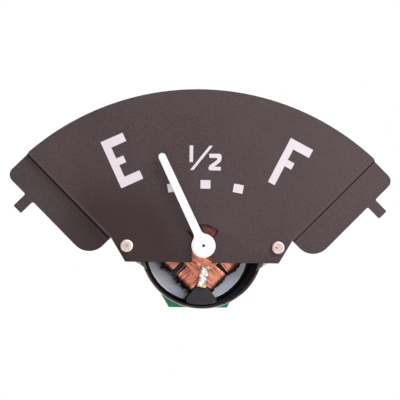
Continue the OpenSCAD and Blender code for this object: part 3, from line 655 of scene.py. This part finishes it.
plastic = mouldedBlack()
for half in ("front", "rear"):
    piece(softened("bobbin_" + half, bobbin["corner"], sharp=40), "moulded_bobbin_" + half, [plastic],
          ["bobbin_" + half])

print("Coils")

coil = {"wire": 0.28, "strands": 20, "corner": 1.2, "plasticGap": 2.3, "innerEndGap": 1.6, "outerEndGap": 0.4,
        "sideJitter": 0.02, "heightJitter": 0.06, "lump": 0.2, "strays": 7, "seed": 11, "skirt": 1.5,
        "skirtRise": 1.8, "coreSink": 0.75, "light": (222, 144, 118), "mid": (184, 102, 80),
        "dark": (104, 48, 38), "gold": (186, 128, 72), "shaded": (104, 42, 34), "shadedUp": (0.6, 2.6),
        "deep": (52, 24, 20), "deepUp": (3.0, 5.2), "end": (30, 18, 15), "endShadeFrom": (9.0, 10.0)}


def enamelledCopper(name, turn):
    # turn is the way the wires of a band run
    p = Paint(name, coil)
    a = radians(turn)
    right = p.along(0)
    up = p.along(2)
    along = right * cos(a) + up * sin(a)
    across = up * cos(a) - right * sin(a)
    lay = p.node("CombineXYZ", {0: along * 0.14, 1: across, 2: p.along(1) * 0.14})
    streak = p.noiseAt(lay, 1.5, 4.0, 0.75)
    hair = p.noiseAt(lay, 4.5, 2.0, 0.6)
    varnish = p.grain(3.4, 4, 0.65)
    # light and dark streaks along the wires: partly painted highlights on the wires and painted shade between
    # them
    p.base(p.ease(streak, 0.4, 0.58), "light", "mid")
    p.over(p.ease(hair + streak * 0.6, 0.8, 0.92, 0, 0.6), "dark")
    # golden varnish on the lower right only
    lobe = p.ease(right, 0.5, 3.5) * p.ease(right + up, -1.8, -0.6, 1, 0)
    p.over(p.ease(varnish, 0.48, 0.62, 0, 0.7) * lobe, "gold")
    # painted shade: dark at the ends, and towards the top, under the dial
    reach = abs(along) + varnish * 0.8 + streak * 0.5
    p.over(p.ease(reach, *coil["endShadeFrom"], 0, 0.97), "end")
    p.over(p.ease(up, *coil["shadedUp"], 0, 0.8), "shaded")
    p.over(p.ease(up - right * 0.5, *coil["deepUp"], 0, 0.75), "deep")
    return p.finish((hair, 0.32, 0.46, varnish), (streak + hair * 0.5, 0.06, 0.7), metallic=0.35, coat=0.1)


def coilPoint(u, v, depth, turn):
    # a point u along a coil and v across it, in the dial's frame
    a = radians(turn)
    return Vector((u * cos(a) - v * sin(a), u * sin(a) + v * cos(a), -depth))


def halfGap(u, reach, endGap):
    # half the gap between a coil's two bands, which changes towards the ends
    return coil["plasticGap"] / 2 + (endGap - coil["plasticGap"]) / 2 * min(abs(u) / reach, 1)


def row(first, last, count):
    # points at equal distances from first to last
    return [tuple(a + (b - a) * i / (count - 1) for a, b in zip(first, last)) for i in range(count)]


def bend(u, depth, size, start):
    # the points of a corner about (u, depth), without its ends
    return [(u + size * sin(a), depth - size * cos(a)) for a in (radians(start + 18 * i) for i in range(1, 5))]


def loop(front, back, reach, sink):
    # one turn of wire as pairs of u and depth; sink is how deep it lies in the band
    r = coil["corner"]
    flat = reach - r
    side = reach - sink
    return (row((-flat, front + sink), (flat, front + sink), 12) + bend(flat, front + r, r - sink, 0)
            + row((side, front + r), (side, back - r), 5) + bend(flat, back - r, r - sink, 90)
            + row((flat, back - sink), (-flat, back - sink), 8) + bend(-flat, back - r, r - sink, 180)
            + row((-side, back - r), (-side, front + r), 5) + bend(-flat, front + r, r - sink, 270))


def stack(front, back, reach, side, endGap, turn, rng):
    # the loops of one band, side by side, with a ragged skirt at both ends
    routes = []
    flat = reach - coil["corner"]
    seed = rng.uniform(0, 50)
    for n in range(coil["strands"]):
        share = (n + 0.5) / coil["strands"]
        lump = noise((share * 7, seed, 0)) * coil["lump"]
        sink = max(0, lump) + rng.uniform(0, coil["heightJitter"]) + coil["wire"] / 2
        shift = rng.uniform(-1, 1) * coil["sideJitter"]
        bulge = coil["skirt"] * max(0, noise((share * 6, seed, 3)) + rng.uniform(0, 0.2))
        points = []
        for u, depth in loop(front, back, reach, sink):
            if abs(u) > flat:
                rise = min(1, (depth - front) / coil["skirtRise"], (back - depth) / coil["skirtRise"])
                u += (bulge if u > 0 else -bulge) * rise
            gap = halfGap(u, reach, endGap)
            across = gap + (side - gap) * (share + shift) + noise((u * 0.25, n * 0.7, seed)) * 0.07
            points.append(coilPoint(u, across, depth, turn))
        routes.append((points, True))
    return routes


def strays(front, reach, side, endGap, turn, rng):
    # short wires that lie slantwise on top of a band's front and dive in at both ends
    routes = []
    ends = reach - coil["corner"] * 0.6
    for n in range(coil["strays"]):
        first = rng.uniform(0.05, 0.95)
        last = min(0.97, max(0.03, first + rng.uniform(-0.16, 0.16)))
        points = []
        for u, share in row((-ends, first), (ends, last), 13):
            gap = halfGap(u, reach, endGap)
            dive = 0.35 * max(0, abs(u) - ends + 1.2) ** 2
            points.append(coilPoint(u, gap + (side - gap) * share, front + coil["wire"] * 0.4 + dive, turn))
        routes.append((points, False))
    return routes


copper = {"inner": enamelledCopper("copper_inner", 45), "outer": enamelledCopper("copper_outer", -45)}
rng = random.Random(coil["seed"])
low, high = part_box("outer_coil_upper")
reach = coil["outerEndGap"] / 2 - low.x / mm * sqrt(2)
side = high.x / mm * sqrt(2) - reach
for layer, turn, endGap in (("inner", 45, coil["innerEndGap"]), ("outer", -45, coil["outerEndGap"])):
    front, back = depths(layer + "_coil_upper")
    for name, tilt in (("upper", turn), ("lower", turn + 180)):
        routes = stack(front, back, reach, side, endGap, tilt, rng)
        routes += strays(front, reach, side, endGap, tilt, rng)
        bm = placed(wires(routes, coil["wire"]))
        # under the wires the CAD's solid, drawn in a little
        core = bmesh.new()
        core.from_mesh(nodes[f"{layer}_coil_{name}"].data)
        bmesh.ops.remove_doubles(core, verts=core.verts, dist=weld * mm)
        for v in core.verts:
            v.co -= v.normal * coil["wire"] * coil["coreSink"] * mm
        holder = meshFrom(core, "core")
        bm.from_mesh(holder)
        bpy.data.meshes.remove(holder)
        piece(bm, f"wound_{layer}_{name}", [copper[layer]], [f"{layer}_coil_{name}"], crease=50)

print("Terminal tags")

tag = {"corner": 0.07, "pinRadius": 9.43, "tail": 0.65, "lean": 10, "front": 1.8, "brass": (190, 168, 104),
       "olive": (124, 108, 54), "tarnish": (96, 58, 48), "flux": (150, 96, 74)}
# rows: place along the tag, how far the solder reaches left of its middle and how far right
solder = {"rows": [(0.1, 1.14, -0.5), (0.4, 1.14, 0.0), (0.8, 1.06, 0.4), (1.25, 1.0, 0.75),
                   (1.65, 1.0, 0.84), (2.3, 0.9, 1.14), (2.8, 1.12, 0.95), (3.3, 1.14, 1.15),
                   (3.9, 0.9, 0.88), (4.4, 0.76, 0.6), (4.7, 0.84, -0.1), (5.1, 1.02, -0.5),
                   (5.5, 1.1, -0.7)],
          "height": 0.55, "least": 0.08, "lump": 0.3, "ripple": 0.2, "steps": 110, "across": 44, "blend": 6,
          "silver": (246, 241, 240), "grey": (186, 176, 172), "stain": (168, 148, 96),
          "pit": (48, 34, 30)}
tagTurns = {"left": -90, "bottom": 0, "right": 90}
tagFoot = tag["pinRadius"] + tag["tail"]


def tinnedBrass(name, turn):
    # x and t are measured across and along the tag, from the middle of its foot
    p = Paint(name, tag)
    a = radians(turn)
    lean = radians(tag["lean"])
    side = p.along(0) * cos(a) + p.along(2) * sin(a)
    rise = p.along(2) * cos(a) - p.along(0) * sin(a) + tagFoot
    x = side * cos(lean) - rise * sin(lean)
    t = side * sin(lean) + rise * cos(lean)
    blotch = p.grain(0.7, 4, 0.65)
    fine = p.grain(0.15, 3, 0.6)
    # bare brass shows at the top right and at the foot
    bare = p.ease(t + blotch, 5.0, 5.3) * p.ease(x, -0.1, 0.25)
    bare = bare + p.ease(t - x * 0.3 + blotch * 0.6, 1.2, 0.85)
    brassy = p.tint(p.ease(p.grain(0.6, 3), 0.4, 0.62), "brass", "olive")
    p.base(p.ease(blotch, 0.4, 0.6), "tarnish", "flux")
    p.over(bare, brassy)
    return p.finish((blotch, 0.28, 0.5, fine), (fine, 0.015, 0.6), metallic=0.4)


def solderMetal():
    p = Paint("solder_metal", solder)
    frost = p.grain(0.5, 5, 0.7)
    fine = p.grain(0.14, 3, 0.7)
    pits = p.ease(p.grain(1.2, 3, 0.6), 0.58, 0.64)
    p.base(p.ease(frost, 0.45, 0.66), "silver", "grey")
    p.over(p.ease(p.grain(1.5, 3), 0.62, 0.72, 0, 0.4), "stain")
    p.over(pits * 0.85, "pit")
    return p.finish((frost, 0.22, 0.46, fine), (frost + fine * 0.5, 0.05, 0.7), metallic=0.35)


def solderLump(seed):
    # a lump of solder, flat below, with x across the tag and y along it
    bm = bmesh.new()
    lines = []
    rows = solder["rows"]
    for i in range(solder["steps"] + 1):
        t = rows[0][0] + (rows[-1][0] - rows[0][0]) * i / solder["steps"]
        below, above = max(pair for pair in zip(rows, rows[1:]) if pair[0][0] <= t + 1e-6)
        share = (t - below[0]) / (above[0] - below[0])
        share = share * share * (3 - 2 * share)
        left, right = (a * (1 - share) + b * share for a, b in zip(below[1:], above[1:]))
        low = noise((t * 3.1, seed, 0)) * solder["ripple"] - left
        high = noise((t * 3.1, seed, 7)) * solder["ripple"] + right
        ends = min(1, i / solder["blend"], (solder["steps"] - i) / solder["blend"]) ** 0.5
        line = []
        for k in range(solder["across"] + 1):
            s = -1 + 2 * k / solder["across"]
            x = (low + high) / 2 + s * (high - low) / 2
            swell = (1 - s ** 6) ** 0.5 * ends
            lump = noise((x * 1.6, t * 1.6, seed)) + 0.5 * noise((x * 4, t * 4, seed + 3))
            pit = max(0, noise((x * 2.6, t * 2.6, seed + 9)) - 0.3)
            height = max(solder["least"], solder["height"] + solder["lump"] * lump - pit)
            line.append(bm.verts.new((x, t, swell * height)))
        lines.append(line)
    for first, last in zip(lines, lines[1:]):
        for k in range(solder["across"]):
            bm.faces.new((first[k], first[k + 1], last[k + 1], last[k]))
    base = bmesh.ops.extrude_face_region(bm, geom=bm.faces[:])
    for v in base["geom"]:
        if isinstance(v, bmesh.types.BMVert):
            v.co.z = -overlap
    return bm


overlap = 0.05  # solder and thread reach so far into what they stand on
silver = solderMetal()
for name, turn in tagTurns.items():
    node = "terminal_tag_" + name
    piece(softened(node, tag["corner"]), "brass_tag_" + name, [tinnedBrass("tinned_brass_" + name, turn)],
          [node])
    bm = solderLump(turn * 0.37 + 5)
    lie = Matrix.Rotation(radians(turn), 4, "Z")
    lie = lie @ Matrix.Translation((0, -tagFoot, overlap - tag["front"]))
    lie = lie @ Matrix.Rotation(radians(-tag["lean"]), 4, "Z")
    bmesh.ops.transform(bm, matrix=lie, verts=bm.verts)
    piece(placed(bm), "solder_" + name, [silver])

print("Lead wires")

# Points in the dial's frame: x, y and how far behind the dial's face
leads = {"thickness": 0.13, "routes": [
    [(-3.7, -4.1, 3.3), (-4.2, -4.65, 2.6), (-5.1, -5.6, 2.5), (-6.05, -6.6, 2.75), (-6.5, -7.1, 3.5)],
    [(5.2, -3.6, 3.4), (5.7, -4.4, 2.4), (6.3, -5.2, 2.1), (6.9, -5.9, 2.5), (7.1, -6.2, 3.4)],
    [(-1.7, -8.4, 2.6), (-1.1, -8.2, 1.7), (-0.2, -8.5, 1.35), (0.7, -8.3, 1.5), (1.1, -7.9, 2.2),
     (1.5, -7.3, 2.35)],
    [(-6.9, -1.3, 2.3), (-7.6, -0.9, 1.7), (-8.3, 0.2, 1.5), (-8.2, 1.0, 2.0), (-7.4, 1.6, 2.3)],
    [(6.8, 1.4, 2.3), (7.7, 0.9, 1.6), (8.4, -0.1, 1.5), (8.3, -1.0, 1.9), (7.3, -1.6, 2.3)],
]}


def rounded(points, steps=6):
    # a smooth line through points
    line = []
    spots = [Vector(p) for p in (points[0], *points, points[-1])]
    for before, first, last, after in zip(spots, spots[1:], spots[2:], spots[3:]):
        for n in range(steps):
            t = n / steps
            pull = (last - before) * t + (before * 2 - first * 5 + last * 4 - after) * t ** 2
            line.append(first + (pull + (first * 3 - before - last * 3 + after) * t ** 3) * 0.5)
    return line + [spots[-1]]


routes = [([Vector((p.x, p.y, -p.z)) for p in rounded(route)], False) for route in leads["routes"]]
piece(placed(wires(routes, leads["thickness"])), "lead_wires", [copper["outer"]])

print("Board")

board = {"corner": 0.12, "green": (4, 132, 84), "deep": (3, 110, 68), "edge": (168, 158, 104),
         "edgeDark": (120, 122, 70), "track": (64, 168, 92), "trackDark": (44, 138, 76), "trackHeight": 0.05,
         "trackWidth": 1.6, "padRadius": 4.3, "padHole": 2.1, "sunk": 0.02, "leadIn": 0.3, "step": 0.004}
boardFront, boardBack = depths("circuit_board")
studRing = mounts["terminal_studs"]["dims"]["pcd_mm"] / 2
studSpots = [(studRing * cos(a), studRing * sin(a)) for a in map(radians, (90, 210, 330))]
pinSpots = [(-tag["pinRadius"], 0), (0, -tag["pinRadius"]), (tag["pinRadius"], 0)]


def boardLacquer():
    p = Paint("board_lacquer", board)
    cloud = p.grain(5, 3, 0.6)
    weave = p.grain(0.35, 2, 0.5, (1, 1, 3))
    p.base(p.ease(cloud + weave * 0.3, 0.45, 0.85), "green", "deep")
    return p.finish((weave, 0.4, 0.5), (weave, 0.01, 0.5), specular=0.2)


def cutLaminate():
    p = Paint("cut_laminate", board)
    plies = p.grain(0.3, 4, 0.65, (0.3, 3, 0.3))
    p.base(p.ease(plies, 0.35, 0.65), "edge", "edgeDark")
    return p.finish(0.75, (plies, 0.04, 0.7))


def trackLacquer():
    p = Paint("track_lacquer", board)
    cloud = p.grain(2.5, 3, 0.6)
    p.base(p.ease(cloud, 0.4, 0.7), "track", "trackDark")
    return p.finish((cloud, 0.24, 0.36), (p.grain(0.4), 0.008, 0.5), metallic=0.15, coat=0.3)


def strip(bm, start, end, width, front, height):
    # a flat bar with rounded ends, such as a track under the lacquer
    reach = Vector(end) - Vector(start)
    made = bmesh.ops.create_circle(bm, cap_ends=True, segments=24, radius=width / 2)["verts"]
    for v in made:
        v.co.x += reach.length if v.co.x > 1e-6 else 0
    turn = Matrix.Translation((*start, -front)) @ Matrix.Rotation(reach.angle_signed(Vector((1, 0))), 4, "Z")
    bmesh.ops.transform(bm, matrix=turn, verts=made)
    faces = [f for f in bm.faces if all(v in made for v in f.verts)]
    risen = bmesh.ops.extrude_face_region(bm, geom=faces)
    top = [g for g in risen["geom"] if isinstance(g, bmesh.types.BMVert)]
    bmesh.ops.translate(bm, verts=top, vec=(0, 0, -height))


bm = softened("circuit_board", board["corner"])
for face in bm.faces:
    face.material_index = 0 if abs(face.normal.y) > 0.7 else 1
piece(bm, "lacquered_board", [boardLacquer(), cutLaminate()], ["circuit_board"])

resistorLow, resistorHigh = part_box("dropping_resistor")
resistorUp = (resistorLow.z + resistorHigh.z) / 2 / mm
leadX = resistorHigh.x / mm - board["leadIn"]
leadSpots = [(-leadX, resistorUp), (leadX, resistorUp)]
lowerTurn = (leadX - 1.4, resistorUp + 2.2)
upperTurn = (studSpots[0][0] + 7.6, studSpots[0][1] - 2.4)
tracks = [(pinSpots[0], studSpots[1]), (pinSpots[2], studSpots[2]), (pinSpots[1], lowerTurn),
          (lowerTurn, leadSpots[1]), (leadSpots[0], studSpots[1]), (studSpots[0], upperTurn),
          (upperTurn, pinSpots[2])]
trackFoot = boardBack - board["sunk"]
trackTop = boardBack + board["trackHeight"]
bm = bmesh.new()
for n, (start, end) in enumerate(tracks):
    # each track a hair higher than the last, so that no two tops share a plane
    strip(bm, start, end, board["trackWidth"], trackFoot, trackTop - trackFoot + n * board["step"])
pad = [(board["padRadius"], trackFoot), (board["padRadius"], trackTop), (board["padHole"], trackTop),
       (board["padHole"], trackFoot), (board["padRadius"], trackFoot)]
for spot in studSpots:
    lathe(bm, pad, spot)
piece(placed(bm), "board_tracks", [trackLacquer()])

print("Board solder")

# radius and height of a joint, first at the tags' pins and then at the resistor's leads
joint = {"pin": (0.78, 0.5), "lead": (0.75, 0.55), "foot": 0.1, "collar": 0.04, "tip": 0.28, "ripple": 0.05}
bm = bmesh.new()
for spot, (wide, tall) in [(s, joint["pin"]) for s in pinSpots] + [(s, joint["lead"]) for s in leadSpots]:
    start = boardBack + joint["collar"]
    cone = [(0, boardBack - joint["foot"]), (wide, boardBack - joint["foot"]), (wide, start)]
    cone += [(wide * (1 - t) ** 1.6 + joint["tip"] * t, start + tall * t ** 0.8)
             for t in (0.2, 0.4, 0.6, 0.8, 0.95)]
    cone += [(0, start + tall + joint["collar"])]
    for v in lathe(bm, cone, spot, 24):
        v.co += Vector(noise_vector(v.co * 1.3)) * joint["ripple"]
piece(placed(bm), "board_joints", [silver])

print("Resistor")

# shoulder: points that round an end off, as radius and distance from the end; bands: place and colour
resistor = {"length": 7, "body": 1.1, "waist": 0.92, "cap": 1.4, "slope": 0.5, "lead": 0.6, "leadBend": 0.7,
            "shoulder": [(0, 0), (0.55, 0), (0.9, 0.15), (1.1, 0.5)], "bandWidth": 0.32,
            "bands": [(-2.35, (110, 66, 34)), (-1.2, (40, 36, 34)), (-0.1, (60, 52, 48)),
                      (2.3, (196, 160, 70))],
            "tan": (206, 178, 132), "tanDark": (186, 154, 108),
            "tin": (206, 202, 196), "tinDark": (150, 146, 142)}


def resistorLacquer():
    p = Paint("resistor_lacquer", resistor)
    cloud = p.grain(1.6, 3, 0.6)
    p.base(p.ease(cloud, 0.4, 0.7), "tan", "tanDark")
    for at, tint in resistor["bands"]:
        wobble = p.grain(0.7, 2) * 0.16 - 0.08
        mask = p.ease(abs(p.along(0) - at + wobble), resistor["bandWidth"], resistor["bandWidth"] + 0.06, 1, 0)
        p.over(mask, tint)
    return p.finish((cloud, 0.28, 0.4), (p.grain(0.5, 3), 0.02, 0.5), coat=0.25)


def tinnedLead():
    p = Paint("tinned_lead", resistor)
    fine = p.grain(0.3, 4, 0.65)
    p.base(fine, "tin", "tinDark")
    return p.finish((fine, 0.24, 0.4), (fine, 0.01, 0.5), metallic=0.9)


axisDepth = (resistorHigh.y - dialFront) / mm - resistor["body"]
half = resistor["length"] / 2
capEnd = half - resistor["cap"]
waistEnd = capEnd - resistor["slope"]
rightHalf = [(resistor["waist"], waistEnd), (resistor["body"], capEnd)]
rightHalf += [(r, half - inset) for r, inset in reversed(resistor["shoulder"])]
leftHalf = [(r, -x) for r, x in reversed(rightHalf)]
bm = bmesh.new()
lathe(bm, leftHalf + rightHalf, steps=32)
lie = Matrix.Translation((0, resistorUp, -axisDepth)) @ Matrix.Rotation(radians(90), 4, "Y")
bmesh.ops.transform(bm, matrix=lie, verts=bm.verts)
piece(placed(bm), "resistor_body", [resistorLacquer()], ["dropping_resistor"])
r = resistor["leadBend"]
corner = [(leadX - r + r * sin(a), axisDepth - r + r * cos(a)) for a in map(radians, range(0, 91, 18))]
path = [(half - 0.3, axisDepth)] + corner + [(leadX, (resistorLow.y - dialFront) / mm)]
routes = [([Vector((sign * x, resistorUp, -depth)) for x, depth in path], False) for sign in (-1, 1)]
piece(placed(wires(routes, resistor["lead"], 3)), "resistor_leads", [tinnedLead()])

print("Studs, nuts and screws")

# cut is a thread's depth as a share of its pitch
stud = {"head": 2.7, "headEdge": 0.15, "shank": 2.0, "shankPitch": 0.7, "end": 1.5, "endPitch": 0.5,
        "cut": 0.61, "chamfer": 0.4, "steps": 28}
dullBrass = {"patch": (2.2, 4, 0.65), "fine": (0.2, 3, 0.65), "darken": (0.4, 0.75, 0, 0.6),
             "light": (204, 184, 128), "dark": (164, 138, 84), "metallic": 0.9, "sheen": (0.3, 0.42),
             "relief": 0.012}
zincSteel = {"patch": (1.2, 4, 0.6), "fine": (0.2, 3, 0.65), "darken": (0.4, 0.75, 0, 1),
             "light": (190, 192, 198), "dark": (166, 166, 170), "metallic": 0.95, "sheen": (0.26, 0.44),
             "relief": 0.012}


def thread(bm, centre, front, back, r, pitch, tipped=False):
    # a helical thread from front to back, cut level at both ends
    root = r - stud["cut"] * pitch
    turns = int((back - front) / pitch) + 3
    steps = stud["steps"]

    def turn():
        line = []
        for n in range(turns):
            z = -front + pitch - n * pitch
            line += [bm.verts.new((radius, 0, z - pitch * share))
                     for radius, share in ((r, 0), (r, 0.1), (root, 0.45), (root, 0.65))]
        line.append(bm.verts.new((r, 0, -front + pitch - turns * pitch)))
        edges = [bm.edges.new(pair) for pair in zip(line, line[1:])]
        bmesh.ops.spin(bm, geom=line + edges, cent=(0, 0, 0), axis=(0, 0, 1), dvec=(0, 0, pitch / steps),
                       angle=2 * pi, steps=steps, use_merge=False, use_duplicate=False)
    made = newVerts(bm, turn)
    bmesh.ops.remove_doubles(bm, verts=made, dist=1e-4)
    for level, facing in ((-front, 1), (-back, -1)):
        made = [v for v in made if v.is_valid]
        geom = made + [e for e in bm.edges if e.verts[0] in made] + [f for f in bm.faces if f.verts[0] in made]
        cut = bmesh.ops.bisect_plane(bm, geom=geom, plane_co=(0, 0, level), plane_no=(0, 0, facing),
                                     clear_outer=True)
        rim = [g for g in cut["geom_cut"] if isinstance(g, bmesh.types.BMEdge)]
        made += [g for g in cut["geom_cut"] if isinstance(g, bmesh.types.BMVert)]
        bmesh.ops.holes_fill(bm, edges=rim, sides=0)
    made = [v for v in set(made) if v.is_valid]
    if tipped:
        for v in made:
            most = r - stud["chamfer"] + (v.co.z + back)
            length = hypot(v.co.x, v.co.y)
            if length > most:
                v.co.x *= most / length
                v.co.y *= most / length
    bmesh.ops.translate(bm, verts=made, vec=(*centre, 0))


studFront, studBack = depths("terminal_studs")
shoulder = -dialFront / mm
radius, edge, shank = stud["head"], stud["headEdge"], stud["shank"]
head = [(0, studFront), (radius - edge, studFront), (radius, studFront + edge), (radius, boardFront - edge),
        (radius - edge, boardFront), (shank, boardFront), (shank, boardBack), (0, boardBack)]
bm = bmesh.new()
for centre in studSpots:
    lathe(bm, head, centre, 40)
    thread(bm, centre, boardBack - overlap, shoulder, shank, stud["shankPitch"])
    thread(bm, centre, shoulder - overlap, studBack, stud["end"], stud["endPitch"], True)
studBrass = patchyMetal("dull_brass", dullBrass)
zinc = patchyMetal("zinc_steel", zincSteel)
piece(placed(bm), "threaded_studs", [studBrass], ["terminal_studs"], crease=28)
piece(softened("stud_nuts", 0.12), "brass_nuts", [studBrass], ["stud_nuts"])
piece(softened("flat_washers", 0.1), "plain_washers", [studBrass], ["flat_washers"])
piece(softened("lock_washers", 0.1), "split_washers", [zinc], ["lock_washers"])
piece(softened("movement_screws", 0.08), "slotted_screws", [zinc], ["movement_screws"])

card = {"light": (190, 168, 124), "dark": (150, 126, 84)}


def pressedCard():
    p = Paint("pressed_card", card)
    fibres = p.grain(0.9, 5, 0.7, (1, 1, 0.3))
    p.base(p.ease(fibres, 0.35, 0.7), "light", "dark")
    return p.finish(0.85, (fibres, 0.03, 0.6))


coat(pressedCard(), "insulator_disc", "board_spacers")

print("Studio")

# the floor glows from nearGlow to farGlow, between the distances of glowFrom from its middle in metres
studio = {"floorBelow": 220, "floorSize": 6, "white": 0.86, "world": 0.2, "glow": 0.75, "nearGlow": 1.0,
          "farGlow": 1.28, "glowFrom": (0.15, 0.7)}
# name: where it stands in millimetres from the dial's centre, its size and its power in watts
lamps = {"key": ((180, -210, 180), 300, 0.93), "fill": ((-380, -320, 160), 340, 0.04),
         "back": ((120, 420, 260), 300, 1.6), "front": ((10, -560, -90), 200, 1.1)}


def paleFloor():
    # white to the camera and to reflections, with the soft shadow that falls on it; not seen from below
    p = Paint("pale_floor")
    seen = p.ray("Camera", "Glossy")
    away = p.node("VectorMath", {0: p.place}, out="Value", operation="LENGTH")
    glow = p.ease(away, *studio["glowFrom"], studio["nearGlow"], studio["farGlow"])
    shine = p.node("Emission", {"Color": (1, 1, 1), "Strength": glow})
    matt = p.node("BsdfDiffuse", {"Color": (studio["white"],) * 3})
    top = p.node("MixShader", {0: p.ease(seen, 0, 1, 0, studio["glow"]), 1: matt, 2: shine})
    clear = p.node("BsdfTransparent")
    under = p.node("NewGeometry", out="Backfacing")
    return p.end(p.node("MixShader", {0: under, 1: top, 2: clear}))


bm = bmesh.new()
bmesh.ops.create_circle(bm, cap_ends=True, segments=64, radius=studio["floorSize"] / 2)
bmesh.ops.translate(bm, verts=bm.verts, vec=(0, 0, -studio["floorBelow"] * mm))
mesh = meshFrom(bm, "studio_floor")
mesh.materials.append(paleFloor())
floor = stand("studio_floor", mesh)

# white where it is seen, straight or in a reflection, and dim as a light
scene.world = bpy.data.worlds.new("studio")
scene.world.use_nodes = True
sky = Shader(scene.world.node_tree)
shown = sky.ease(sky.ray("Camera", "Transmission", "Glossy"), 0, 1, studio["world"], 1.0)
air = sky.node("Background", {"Color": (1, 1, 1), "Strength": shown})
sky.node("OutputWorld", {"Surface": air}, out=None)

for name, (place, size, power) in lamps.items():
    data = bpy.data.lights.new(name, "AREA")
    data.shape = "DISK"
    data.size = size * mm
    data.energy = power
    lamp = stand(name, data)
    lamp.visible_camera = False
    lamp.location = Vector(place) * mm
    lamp.rotation_mode = "QUATERNION"
    lamp.rotation_quaternion = (-lamp.location).to_track_quat("-Z", "Y")

scene.view_settings.view_transform = "Standard"
